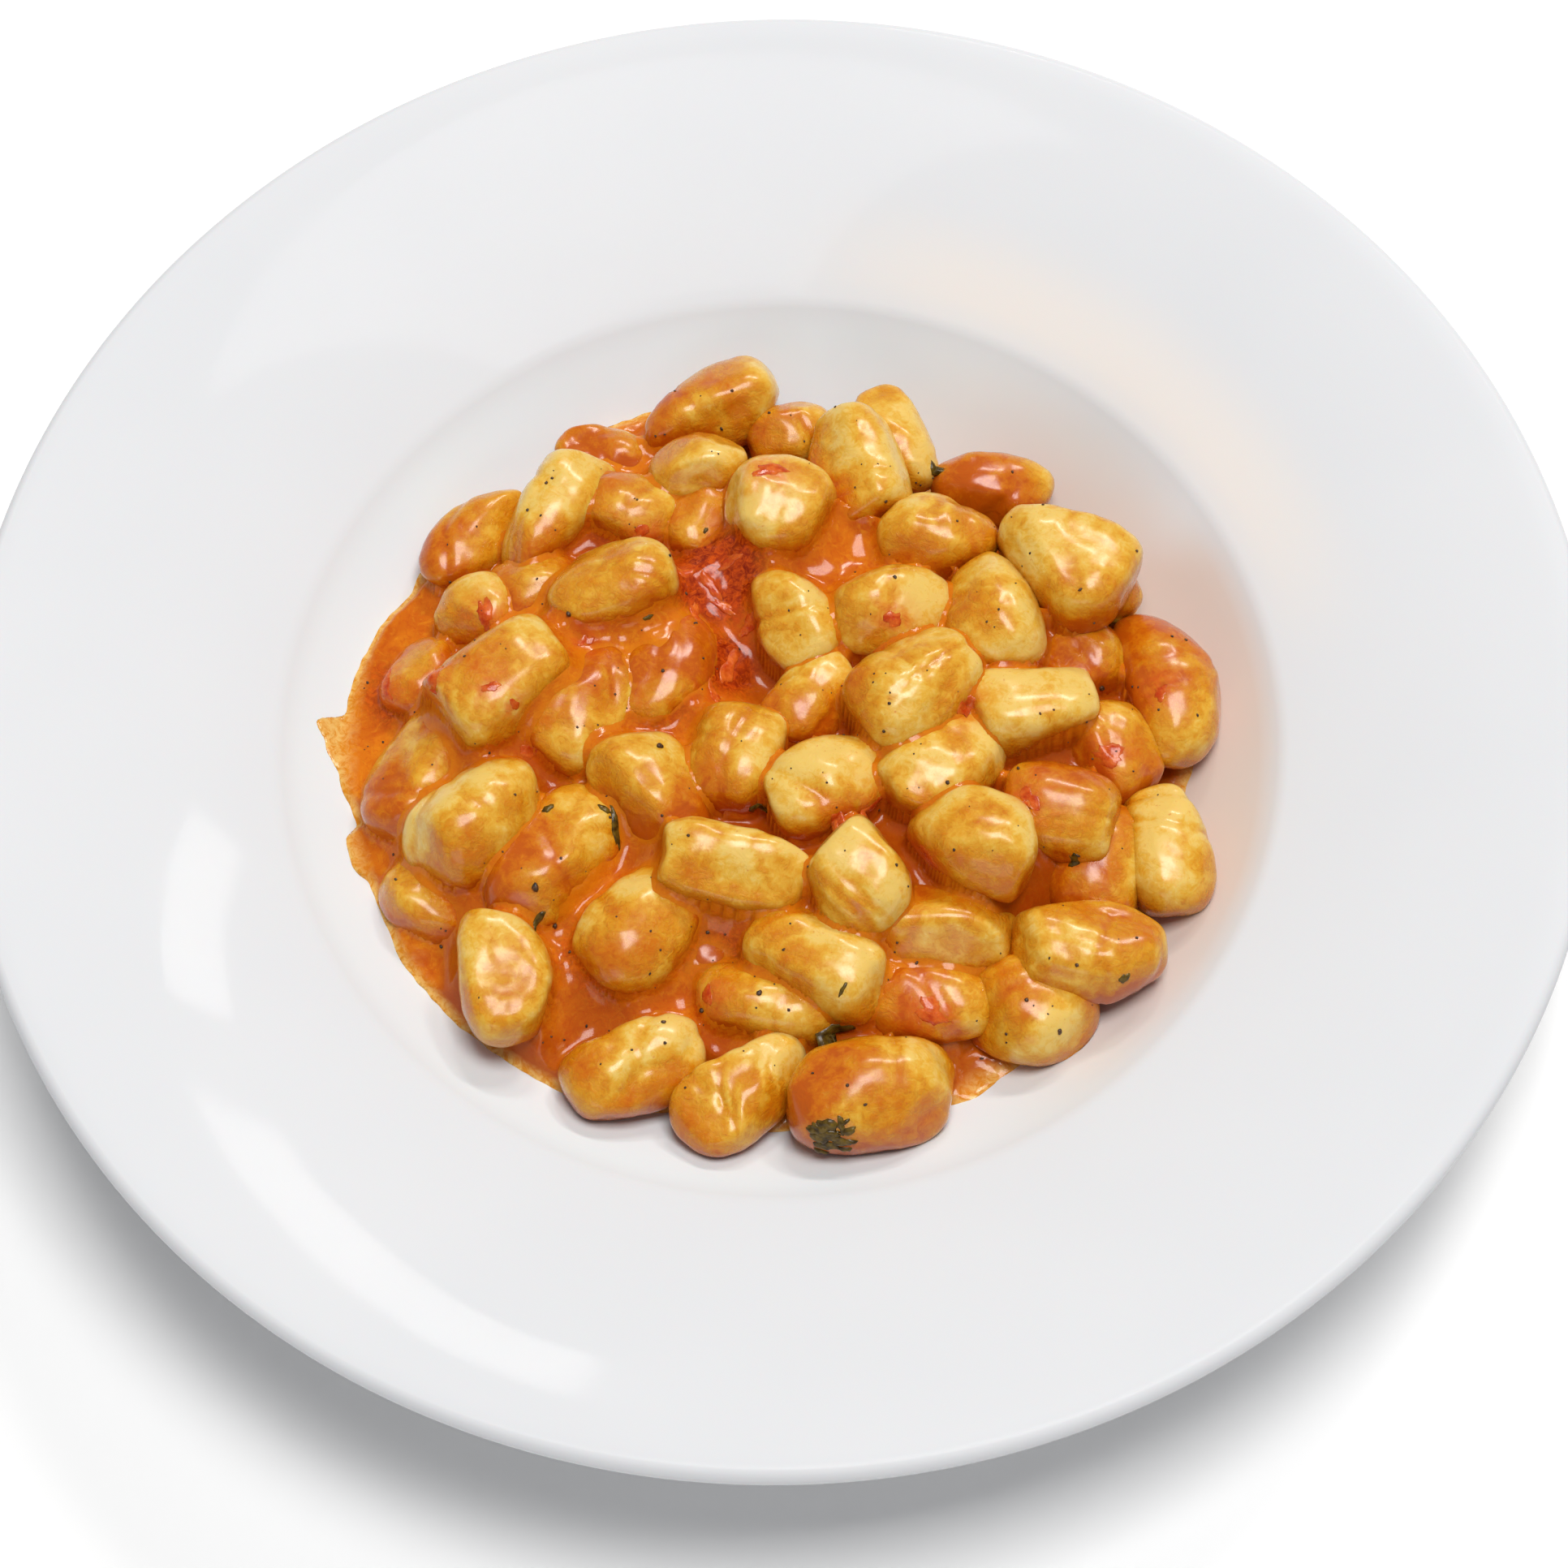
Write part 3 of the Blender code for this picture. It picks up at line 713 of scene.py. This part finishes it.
def edge_film(x, y):
    """The most that the sauce may stand over the plate: a round edge, then a bank behind it."""
    edge = outline_radius(np.degrees(np.arctan2(y, x)) % 360)
    inward = edge + 0.35 * grid_noise(x, y, 2.5, 5) - np.hypot(x, y)
    climb = BANK + (BANK_LOW - BANK) * smoothstep(-35, -10, x)
    film = EDGE_HEIGHT * np.tanh(np.maximum(inward, -1.0) / EDGE_WIDTH)
    return film + climb * np.clip(inward - 1.0, 0, 7.0) + BANK * np.clip(inward - 8.0, 0, None)


def sauce_surface(tree):
    """The sauce over its grid, with what its colour and the dumplings' coat are read from."""
    count = int(SAUCE_REACH / SAUCE_STEP)
    coordinates = np.arange(-count, count + 1) * SAUCE_STEP
    x, y = np.meshgrid(coordinates, coordinates, indexing="ij")
    plate = well_height(np.minimum(np.hypot(x, y), LIP_RADIUS))
    tops = grid_heights(tree, coordinates, plate)
    bridged = bridge(tops)
    drop = sauce_drop(x, y)
    pool = POOL_LEFT + (POOL_RIGHT - POOL_LEFT) * smoothstep(-30, 50, x + 0.35 * y)
    swirl = 0.30 * grid_noise(x, y, 9.0, 3) + 0.14 * grid_noise(x, y, 3.4, 4)
    pulp = pulp_share(x, y)
    fibres = grid_noise(x, y, 2.6, 6) + 0.6 * grid_noise(x, y, 1.5, 7)
    level = blur(np.maximum(pool, bridged - drop), 2) + swirl + PULP_RELIEF * pulp * fibres
    uneven = grid_noise(x, y, 6.5, 8) + 0.5 * grid_noise(x, y, 2.8, 9)
    height = cling(tops, level, drop, uneven)
    height = height + np.clip(blur(height, 1) - height, -STEP_EASED, STEP_EASED)
    height = np.minimum(np.maximum(height, plate + SMEAR), plate + edge_film(x, y))
    return Surface(x, y, height, height - plate, bridged, pulp, height - tops, level)


def pulp_share(x, y):
    """Where the sauce is coarse tomato pulp, from 0 to 1."""
    share = np.zeros_like(x)
    for heap in PULP:
        away = ((x - heap.x) ** 2 + (y - heap.y) ** 2) / heap.radius**2
        share = np.maximum(share, heap.share * np.exp(-(away**2)))
    return share


def sauce_points(surface):
    """Points and quads of the sauce's top, and its depth there, to just past its edge."""
    shown = surface.thickness > -EDGE_SUNK
    places = np.arange(shown.size).reshape(shown.shape)
    whole, corners = (
        np.stack([g[:-1, :-1], g[1:, :-1], g[1:, 1:], g[:-1, 1:]], axis=-1) for g in (shown, places)
    )
    used, quads = np.unique(corners[whole.all(axis=-1)], return_inverse=True)
    fields = (surface.x, surface.y, surface.height, surface.thickness)
    *points, depth = (field.ravel()[used] for field in fields)
    return np.stack(points, axis=1), quads.reshape(-1, 4), depth


def boundary_loop(quads):
    """The longest closed chain of edges that have one face, in order."""
    sides = (zip(quad, quad[1:] + quad[:1]) for quad in quads.tolist())
    edges = dict.fromkeys(edge for around in sides for edge in around)
    following = {}
    for a, b in edges:
        if (b, a) not in edges:
            following.setdefault(b, []).append(a)
    loops = []
    while following:
        start = next(iter(following))
        loop = [start]
        while True:
            options = following[loop[-1]]
            step = options.pop()
            if not options:
                del following[loop[-1]]
            if step == start:
                break
            loop.append(step)
        loops.append(loop)
    return max(loops, key=len)


def make_sauce(surface, finish):
    """The sauce's top, closed by rings that follow the plate down to its middle."""
    top, quads, depth = sauce_points(surface)
    values = {
        "depth": depth,
        "pulp": read_grid(surface.pulp, top),
        "film": read_grid(surface.film, top),
        # sunk is how deep the sauce lies below the bridging surface; the material paints shade
        # there.
        "sunk": read_grid(surface.bridged - surface.height, top),
    }
    edge = boundary_loop(quads)[::-1]
    layers = [top]
    for share in 1.0 - np.arange(1, SAUCE_RINGS + 1) / (SAUCE_RINGS + 1):
        ring = top[edge, :2] * share
        height = well_height(np.hypot(ring[:, 0], ring[:, 1])) - UNDERLAP
        layers.append(np.column_stack([ring, height]))
    points = np.concatenate([*layers, [(0.0, 0.0, FLOOR_HEIGHT - UNDERLAP)]])
    last = len(points) - 1
    under = hooped(None, [edge, *evenly(len(top), len(edge), last)], last)
    sauce = mesh_object("sauce_body", points, quads.tolist() + under, finish)
    for name, shown in values.items():
        hidden = np.zeros(len(points) - len(shown))
        add_values(sauce, name, np.concatenate([shown, hidden]))
    return sauce


def read_grid(field, points):
    """The field's value over each point, from the nearest place of the sauce's grid."""
    last = len(field) - 1
    i, j = np.clip(np.round(points[:, :2] / SAUCE_STEP).astype(int) + last // 2, 0, last).T
    return field[i, j]


def wet_coat(group, surface, seed):
    """How much sauce covers each point: more near the pool, in hollows and on one side; the extra
    coat in the gaps between dumplings and on the side away from the light is partly painted shade.
    """
    points = group["points"]
    above = points[:, 2] - read_grid(surface.level, points)
    between = read_grid(surface.bridged, points) - points[:, 2]
    drop = sauce_drop(points[:, 0], points[:, 1])
    reach = 1.6 + 3.5 * (1.0 - smoothstep(1.5, 6.0, drop))
    band = 1.0 - smoothstep(0.0, 1.0, (above - 0.3 + 1.2 * noise_at(points, 4.5, seed)) / reach)
    patches = 0.24 * np.tanh(4.0 * noise_at(points, 11.0, seed + 1))
    patches += 0.12 * noise_at(points, 3.4, seed + 2)
    # Partly painted shade: a darker coat in the gaps between dumplings, where sauce also pools.
    crevice_sauce_and_shade = 0.34 * smoothstep(0.4, 5.0, between)
    hollow = 0.07 * np.clip(hollowness(points, group["quads"]), -2.0, 2.0)
    # The side term is partly painted shade: a darker coat on the side away from the light.
    coat = group["coat"] - 0.04 + 0.22 * group["side"] + patches + crevice_sauce_and_shade + hollow
    return np.clip(coat + 0.32 * band, 0, 1)


def make_gnocchi(name, group, surface, finish, seed):
    obj = mesh_object(name, group["points"], group["quads"], finish)
    add_values(obj, "coat", wet_coat(group, surface, seed))
    add_values(obj, "tone", group["tone"])
    return obj


# --- toppings ---
class Food:
    """The surface of dumplings and sauce that the toppings are laid on."""

    def __init__(self, objects):
        bodies = [
            ([v.co / MM for v in obj.data.vertices], [f.vertices for f in obj.data.polygons])
            for obj in objects
        ]
        self.tree = BVHTree.FromPolygons(*gathered(bodies))

    def seen(self, x, y):
        """The point that the eye sees through a place on the level of sight, and its normal."""
        place = eye()[0]
        ray = Vector((x, y, SIGHT_HEIGHT)) - place
        return self.tree.ray_cast(place, ray.normalized())[:2]

    def settle(self, point, normal):
        """The surface under a point near it, or a place just inside where there is none."""
        hit = self.tree.ray_cast(point + normal * SETTLE, -normal, 2 * SETTLE)[0]
        return point - normal * FLAKE_SUNK if hit is None else hit


def tangents(normal, heading):
    """Two directions in the surface, the first nearest to this heading in plan."""
    ahead = Vector((math.cos(heading), math.sin(heading), 0.0))
    first = (ahead - normal * ahead.dot(normal)).normalized()
    return first, normal.cross(first)


def draped(food, bit, thickness, rng, ragged):
    """Points and faces of one closed flake that follows the surface under it."""
    spot, normal = food.seen(bit.x, bit.y)
    first, second = tangents(normal, math.radians(bit.heading))
    waves = [(k, rng.uniform(0, math.tau), rng.uniform(0.4, 1.0) / k**0.5) for k in (2, 3, 5, 7)]
    top, under = [], []
    for ring in range(1, FLAKE_RINGS + 1):
        share = ring / FLAKE_RINGS
        for k in range(FLAKE_SPOKES):
            a = math.tau * k / FLAKE_SPOKES
            wave = sum(size * math.sin(n * a + phase) for n, phase, size in waves)
            reach = share * (1.0 + ragged * wave)
            offset = first * (bit.length / 2 * reach * math.cos(a))
            offset += second * (bit.width / 2 * reach * math.sin(a))
            base = food.settle(spot + offset, normal)
            crown = 1.25 * math.sqrt(max(0.0, 1.0 - share**2.2)) - 0.25
            crown += 0.45 * noise.noise((spot + offset) / 1.1)
            top.append(base + normal * thickness * crown)
            if ring == FLAKE_RINGS:
                under.append(base - normal * 0.5)
    points = [food.settle(spot, normal) + normal * thickness, *top, *under]
    last = len(points)
    points.append(spot - normal * FLAKE_SUNK)
    return [tuple(p) for p in points], hooped(0, evenly(1, FLAKE_SPOKES, last), last)


def make_tomato(food, finish, rng):
    parts = [draped(food, bit, 0.35 * bit.thick, rng, 0.34) for bit in TOMATO]
    return mesh_object("tomato_bits", *gathered(parts), finish)


def make_herbs(food, finish, rng):
    bits = list(HERBS)
    for _ in range(CLUSTER_LEAVES):
        x = CLUSTER.x + rng.uniform(-0.5, 0.5) * CLUSTER.length
        y = CLUSTER.y + rng.uniform(-0.5, 0.5) * CLUSTER.width
        size = rng.uniform(2.2, 4.0)
        leaf = Bit(x, y, size, size * rng.uniform(0.35, 0.7), rng.uniform(0, 180), 0.5)
        if food.seen(x, y)[0] is not None:
            bits.append(leaf)
    parts = [draped(food, bit, bit.thick, rng, 0.26) for bit in bits]
    return mesh_object("herb_flakes", *gathered(parts), finish)


def speck(spot, normal, size, rng):
    """One broken peppercorn grain, sunk a third of its size into what it lies on."""
    bm = bmesh.new()
    bmesh.ops.create_icosphere(bm, subdivisions=2, radius=size / 2)
    stretch = Vector((rng.uniform(0.7, 1.3), rng.uniform(0.7, 1.2), rng.uniform(0.5, 0.9)))
    turn = normal.to_track_quat("Z", "Y").to_matrix() @ Matrix.Rotation(rng.uniform(0, 6), 3, "Z")
    shift = Vector(rng.uniform(0, 50, 3))
    points = []
    for vert in bm.verts:
        rough = 1.0 + 0.45 * noise.noise(vert.co / size * 2.4 + shift)
        points.append(tuple(spot + normal * size * 0.12 + turn @ (vert.co * stretch * rough)))
    faces = [tuple(v.index for v in f.verts) for f in bm.faces]
    bm.free()
    return points, faces


def make_pepper(food, finish, rng):
    places = list(PEPPER)
    for _ in range(LOOSE_PEPPER):
        radius, angle = PEPPER_REACH * math.sqrt(rng.uniform()), rng.uniform(0, math.tau)
        size = 0.28 + 0.42 * rng.uniform() ** 2
        places.append(Grain(radius * math.cos(angle), radius * math.sin(angle), size))
    parts = []
    for x, y, size in places:
        spot, normal = food.seen(x, y)
        if spot is not None:
            parts.append(speck(spot, normal, size, rng))
    return mesh_object("pepper_specks", *gathered(parts), finish)


def stain_red(objects, food):
    """Marks how red each point of the food is from the soft tomato on it or near it."""
    spots = [(bit, food.seen(bit.x, bit.y)[0]) for bit in TOMATO]
    for obj in objects:
        points = np.array([v.co for v in obj.data.vertices]) / MM
        stain = np.zeros(len(points))
        for bit, spot in spots:
            away = np.linalg.norm(points - np.array(spot), axis=1) / (0.3 * bit.length + 2.6)
            stain = np.maximum(stain, np.exp(-(away**2)))
        add_values(obj, "stain", stain)


# --- materials ---
# Colour of a dumpling by how much sauce lies on it, from bare dough to the sauce itself, where the
# coat value also carries painted shade in the gaps and on the side away from the light.
# The first two are the ramp's own ends.
DOUGH_STOPS = [
    (0.00, (0.78, 0.520, 0.125)),
    (1.00, (0.50, 0.095, 0.002)),
    (0.18, (0.74, 0.415, 0.046)),
    (0.40, (0.69, 0.300, 0.012)),
    (0.62, (0.64, 0.218, 0.004)),
    (0.84, (0.58, 0.150, 0.003)),
]


class Nodes:
    """A short way to build the shader nodes of one new material."""

    def __init__(self, name):
        self.material = bpy.data.materials.new(name)
        self.material.use_nodes = True
        self.tree = self.material.node_tree
        self.shader = self.tree.nodes["Principled BSDF"]

    def feed(self, socket, value):
        if isinstance(value, bpy.types.NodeSocket):
            self.tree.links.new(value, socket)
        else:
            socket.default_value = value

    def set(self, **values):
        for key, value in values.items():
            self.feed(self.shader.inputs[key.replace("_", " ")], value)

    def scatter(self, weight, scale, radius):
        self.set(Subsurface_Weight=weight, Subsurface_Scale=scale, Subsurface_Radius=radius)

    def add(self, kind, inputs, **settings):
        node = self.tree.nodes.new("ShaderNode" + kind)
        for key, value in settings.items():
            setattr(node, key, value)
        for key, value in inputs.items():
            self.feed(node.inputs[key], value)
        return node

    def noise(self, scale_mm, detail=2.0, roughness=0.5, distortion=0.0):
        place = self.add("TexCoord", {}).outputs["Object"]
        inputs = {"Vector": place, "Scale": 1.0 / MM / scale_mm, "Detail": detail}
        inputs |= {"Roughness": roughness, "Distortion": distortion}
        return self.add("TexNoise", inputs).outputs["Fac"]

    def source(self, value):
        """A socket, or for a tuple the noise with these settings."""
        return self.noise(*value) if isinstance(value, tuple) else value

    def spread(self, value, low, high, to_low=0.0, to_high=1.0):
        inputs = {"Value": self.source(value), "From Min": low, "From Max": high}
        inputs |= {"To Min": to_low, "To Max": to_high}
        return self.add("MapRange", inputs).outputs["Result"]

    def math(self, operation, a, b):
        return self.add("Math", {0: a, 1: b}, operation=operation).outputs["Value"]

    def mix(self, share, a, b):
        """The colours a and b mixed by this share; a tuple is a colour without its alpha."""
        a, b = ((*c, 1.0) if isinstance(c, tuple) else c for c in (a, b))
        return self.add("Mix", {0: share, 6: a, 7: b}, data_type="RGBA").outputs[2]

    def ramp(self, share, stops):
        """A colour that runs through stops, each a place from 0 to 1 and its colour."""
        node = self.add("ValToRGB", {"Fac": share})
        elements = node.color_ramp.elements
        for stop, (place, colour) in enumerate(stops):
            element = elements[stop] if stop < 2 else elements.new(place)
            element.position = place
            element.color = (*colour, 1.0)
        return node.outputs["Color"]

    def value(self, name):
        return self.add("Attribute", {}, attribute_name=name).outputs["Fac"]

    def bump(self, height, depth_mm, strength, under=None):
        inputs = {"Height": self.source(height), "Distance": depth_mm * MM}
        inputs["Strength"] = strength
        if under is not None:
            inputs["Normal"] = under
        return self.add("Bump", inputs).outputs["Normal"]


def porcelain():
    made = Nodes("porcelain")
    cloud = made.spread((60.0, 2.0), 0.35, 0.65)
    colour = made.mix(cloud, (0.704, 0.712, 0.732), (0.718, 0.724, 0.742))
    # Painted light: the well is lighter than the rim.
    colour = made.mix(made.value("well"), colour, (0.755, 0.79, 0.812))
    # Painted warm bounce light from the food on the right wall of the well.
    colour = made.mix(made.value("painted_bounce"), colour, (0.70, 0.58, 0.51))
    # Painted cream reflection of the food on the glaze beside the lip.
    colour = made.mix(made.value("painted_food_reflection"), colour, (0.790, 0.745, 0.710))
    waves = made.bump((28.0, 1.0), 0.10, 0.5)
    orange_peel = made.bump((3.0, 2.0), 0.004, 0.4, waves)
    rough = made.spread((35.0, 3.0), 0.3, 0.7, 0.05, 0.09)
    made.set(Base_Color=colour, Roughness=rough, Normal=orange_peel)
    made.set(Specular_IOR_Level=0.032, Subsurface_Weight=0.08, Subsurface_Scale=0.002)
    return made.material


def dough():
    """Boiled potato dough under a thin, patchy coat of tomato cream."""
    made = Nodes("gnocchi_dough")
    uneven = made.math("MULTIPLY", made.spread((5.0, 3.0, 0.6), 0.3, 0.7, -1, 1), 0.17)
    streaks = made.noise(1.9, 4.0, 0.7, 1.6)
    fine = made.math("MULTIPLY", made.spread(streaks, 0.3, 0.7, -1, 1), 0.15)
    coat = made.math("ADD", made.math("ADD", made.value("coat"), uneven), fine)
    coat = made.math("ADD", coat, made.spread(made.value("tone"), 0.0, 1.0, -0.05, 0.05))
    colour = made.ramp(coat, DOUGH_STOPS)
    specks = made.spread((0.9, 3.0, 0.6), 0.66, 0.74, 0.0, 0.5)
    colour = made.mix(specks, colour, (0.58, 0.12, 0.01))
    stain = made.math("MULTIPLY", made.value("stain"), made.spread((2.2,), 0.3, 0.6))
    colour = made.mix(made.math("MULTIPLY", stain, 0.75), colour, (0.66, 0.090, 0.012))
    grain = made.bump((0.8, 3.0, 0.6), 0.05, 0.5)
    film = made.bump(made.spread(coat, 0.35, 0.75), 0.35, 0.6, grain)
    dimples = made.bump((2.4, 2.0), 0.15, 0.6, film)
    skin = made.bump((4.5, 3.0, 0.55, 1.2), 0.5, 0.6, dimples)
    rough = made.spread(coat, 0.2, 0.8, 0.36, 0.22)
    made.set(Base_Color=colour, Roughness=rough, Normal=skin)
    made.set(Specular_IOR_Level=0.1, Coat_Weight=1.0, Coat_Roughness=0.20, Coat_IOR=1.40)
    made.scatter(0.2, 0.003, (1.0, 0.45, 0.12))
    return made.material


def tomato_cream():
    """The sauce: orange cream with red pulp, with painted shade in the gaps, yellow where it is
    thin.
    """
    made = Nodes("tomato_cream")
    clouds = made.spread((9.0, 4.0, 0.6, 0.8), 0.36, 0.64)
    body = made.mix(clouds, (0.52, 0.098, 0.003), (0.65, 0.175, 0.005))
    cream = made.spread((3.4, 5.0, 0.7, 1.8), 0.50, 0.66, 0.0, 0.6)
    colour = made.mix(cream, body, (0.70, 0.245, 0.009))
    grains = made.spread((1.5, 5.0, 0.7, 1.0), 0.52, 0.66, 0.0, 0.6)
    colour = made.mix(grains, colour, (0.48, 0.066, 0.003))
    threads = made.spread((1.7, 5.0, 0.7, 1.5), 0.42, 0.62)
    pulpy = made.mix(threads, (0.20, 0.010, 0.001), (0.60, 0.085, 0.004))
    pulp = made.spread(made.value("pulp"), 0.0, 0.7)
    colour = made.mix(pulp, colour, pulpy)
    stain = made.math("MULTIPLY", made.value("stain"), made.spread((2.2,), 0.3, 0.6))
    colour = made.mix(made.math("MULTIPLY", stain, 0.6), colour, (0.60, 0.070, 0.008))
    uneven = made.spread((3.0, 3.0), 0.3, 0.7, -0.3, 0.3)
    through = made.spread(made.math("ADD", made.value("film"), uneven), 0.0, 1.7, 0.7, 0.0)
    colour = made.mix(through, colour, (0.64, 0.185, 0.004))
    # Painted shade: the sauce is darker where it lies deep below the bridging surface, between
    # dumplings.
    painted_gap_shade = made.spread(made.value("sunk"), 4.0, 8.5, 0.0, 0.75)
    colour = made.mix(painted_gap_shade, colour, (0.36, 0.050, 0.002))
    thin = made.spread(made.value("depth"), 0.0, 2.6, 1.0, 0.0)
    smear = made.spread((1.8, 4.0, 0.7, 1.0), 0.40, 0.60)
    colour = made.mix(thin, colour, made.mix(smear, (0.70, 0.26, 0.015), (0.86, 0.52, 0.15)))
    grain = made.bump((0.9, 3.0, 0.6), 0.05, 0.5)
    fibres = made.bump((2.4, 4.0, 0.6, 1.2), 0.32, 0.6, grain)
    rough = made.spread((1.4, 3.0), 0.3, 0.7, 0.16, 0.32)
    made.set(Base_Color=colour, Roughness=rough, Normal=fibres)
    made.set(Specular_IOR_Level=0.0, Coat_Weight=0.7, Coat_Roughness=0.14, Coat_IOR=1.42)
    made.scatter(0.12, 0.003, (1.0, 0.35, 0.1))
    return made.material


def topping(name, shade, colours, relief, depth, rough, rough_range):
    """A material of two mixed colours, with relief and uneven roughness."""
    made = Nodes(name)
    colour = made.mix(made.spread(shade, 0.35, 0.65), *colours)
    rough = made.spread(rough, 0.3, 0.7, *rough_range)
    made.set(Base_Color=colour, Roughness=rough, Normal=made.bump(relief, depth, 0.7))
    return made


def tomato_flesh():
    colours = (0.50, 0.048, 0.005), (0.72, 0.150, 0.016)
    relief = (1.1, 3.0, 0.6, 0.8)
    made = topping("tomato_flesh", (2.0, 3.0, 0.6), colours, relief, 0.25, (1.0,), (0.16, 0.34))
    made.set(Specular_IOR_Level=0.1, Coat_Weight=0.6, Coat_Roughness=0.10, Coat_IOR=1.4)
    made.scatter(0.3, 0.002, (1.0, 0.25, 0.1))
    return made.material


def herb_leaf():
    colours = (0.045, 0.024, 0.003), (0.150, 0.090, 0.008)
    made = topping("herb_leaf", (1.2, 3.0), colours, (0.7,), 0.12, (1.0,), (0.25, 0.45))
    made.set(Specular_IOR_Level=0.15, Coat_Weight=0.3, Coat_Roughness=0.15)
    return made.material


def black_pepper():
    colours = (0.020, 0.010, 0.005), (0.110, 0.045, 0.015)
    made = topping("black_pepper", (0.5,), colours, (0.3,), 0.08, (0.6,), (0.35, 0.6))
    return made.material


def floor_white():
    made = Nodes("floor_white")
    colour = made.mix(made.noise(400.0, 2.0), (0.95, 0.95, 0.95), (0.97, 0.97, 0.97))
    made.set(Base_Color=colour, Roughness=0.7)
    return made.material


# --- stage ---
LIGHT_AIM = Vector((0, 0, 0.02))


def make_floor():
    bpy.ops.mesh.primitive_plane_add(size=6.0, location=(0, 0, -0.0002))
    floor = bpy.context.object
    floor.name = "floor"
    floor.data.materials.append(floor_white())


def eye():
    """The camera's place and its right, up and forward directions, in millimetres."""
    forward = Vector((0, math.cos(EYE_ELEVATION), -math.sin(EYE_ELEVATION)))
    level = Vector((1, 0, 0))
    lift = level.cross(forward)
    right = level * math.cos(EYE_ROLL) - lift * math.sin(EYE_ROLL)
    up = level * math.sin(EYE_ROLL) + lift * math.cos(EYE_ROLL)
    return Vector(EYE_TARGET) - forward * EYE_DISTANCE, right, up, forward


def make_camera():
    place, right, up, forward = eye()
    data = bpy.data.cameras.new("camera")
    data.lens = LENS
    data.sensor_width = SENSOR
    data.shift_x, data.shift_y = SHIFT
    data.clip_start = 0.05
    camera = linked("camera", data)
    turn = Matrix((right, up, -forward)).transposed().to_4x4()
    camera.matrix_world = Matrix.Translation(place * MM) @ turn
    bpy.context.scene.camera = camera


def area_light(name, place, size, watts, colour):
    """A rectangular light that faces the food."""
    data = bpy.data.lights.new(name, "AREA")
    data.shape = "RECTANGLE"
    data.size, data.size_y = size
    data.energy = watts
    data.color = colour
    light = linked(name, data)
    light.location = place
    light.rotation_euler = (LIGHT_AIM - Vector(place)).to_track_quat("-Z", "Y").to_euler()


def make_light():
    world = bpy.data.worlds.new("studio")
    bpy.context.scene.world = world
    world.use_nodes = True
    sky = world.node_tree.nodes["Background"].inputs
    sky["Color"].default_value = (0.97, 0.98, 1.0, 1)
    sky["Strength"].default_value = 0.25
    for name, across in (("window_left", -0.30), ("window_right", 0.30)):
        place = (0.67 + across, 1.67 - 0.4 * across, 1.87)
        area_light(name, place, (0.46, 0.22), 10.0, (1.0, 0.975, 0.93))
    area_light("overhead", (0.28, 0.05, 2.45), (1.05, 1.05), 44.0, (1.0, 0.995, 0.985))
    area_light("front_fill", (-0.5, -2.2, 0.9), (1.4, 0.8), 6.0, (0.98, 0.99, 1.0))
    bpy.context.scene.view_settings.view_transform = "Standard"


def main():
    for obj in list(bpy.data.objects):
        bpy.data.objects.remove(obj, do_unlink=True)
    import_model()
    make_camera()
    make_light()
    make_floor()
    plate = make_plate(porcelain())
    upper = gnocchi_mesh(UPPER, SEED)
    lower = gnocchi_mesh(LOWER, SEED + 1)
    for group, seed in ((upper, 11), (lower, 23)):
        roughen(group, seed)
    points = np.concatenate([upper["points"], lower["points"]])
    quads = np.concatenate([upper["quads"], lower["quads"] + len(upper["points"])])
    tree = BVHTree.FromPolygons(points.tolist(), quads.tolist())
    surface = sauce_surface(tree)
    skin = dough()
    top = make_gnocchi("gnocchi_upper", upper, surface, skin, 31)
    bottom = make_gnocchi("gnocchi_lower", lower, surface, skin, 47)
    sauce = make_sauce(surface, tomato_cream())
    food = Food((top, bottom, sauce))
    stain_red((top, bottom, sauce), food)
    rng = np.random.default_rng(SEED + 2)
    for piece, node, slot in (
        (plate, "plate", "porcelain"),
        (sauce, "sauce", "tomato_cream"),
        (top, "gnocchi_heap", "gnocchi_dough"),
        (bottom, "gnocchi_heap", "gnocchi_dough"),
        (make_tomato(food, tomato_flesh(), rng), None, "tomato_cream"),
        (make_herbs(food, herb_leaf(), rng), None, "tomato_cream"),
        (make_pepper(food, black_pepper(), rng), None, "tomato_cream"),
    ):
        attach(piece, "root")
        if node is not None:
            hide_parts(node)


main()
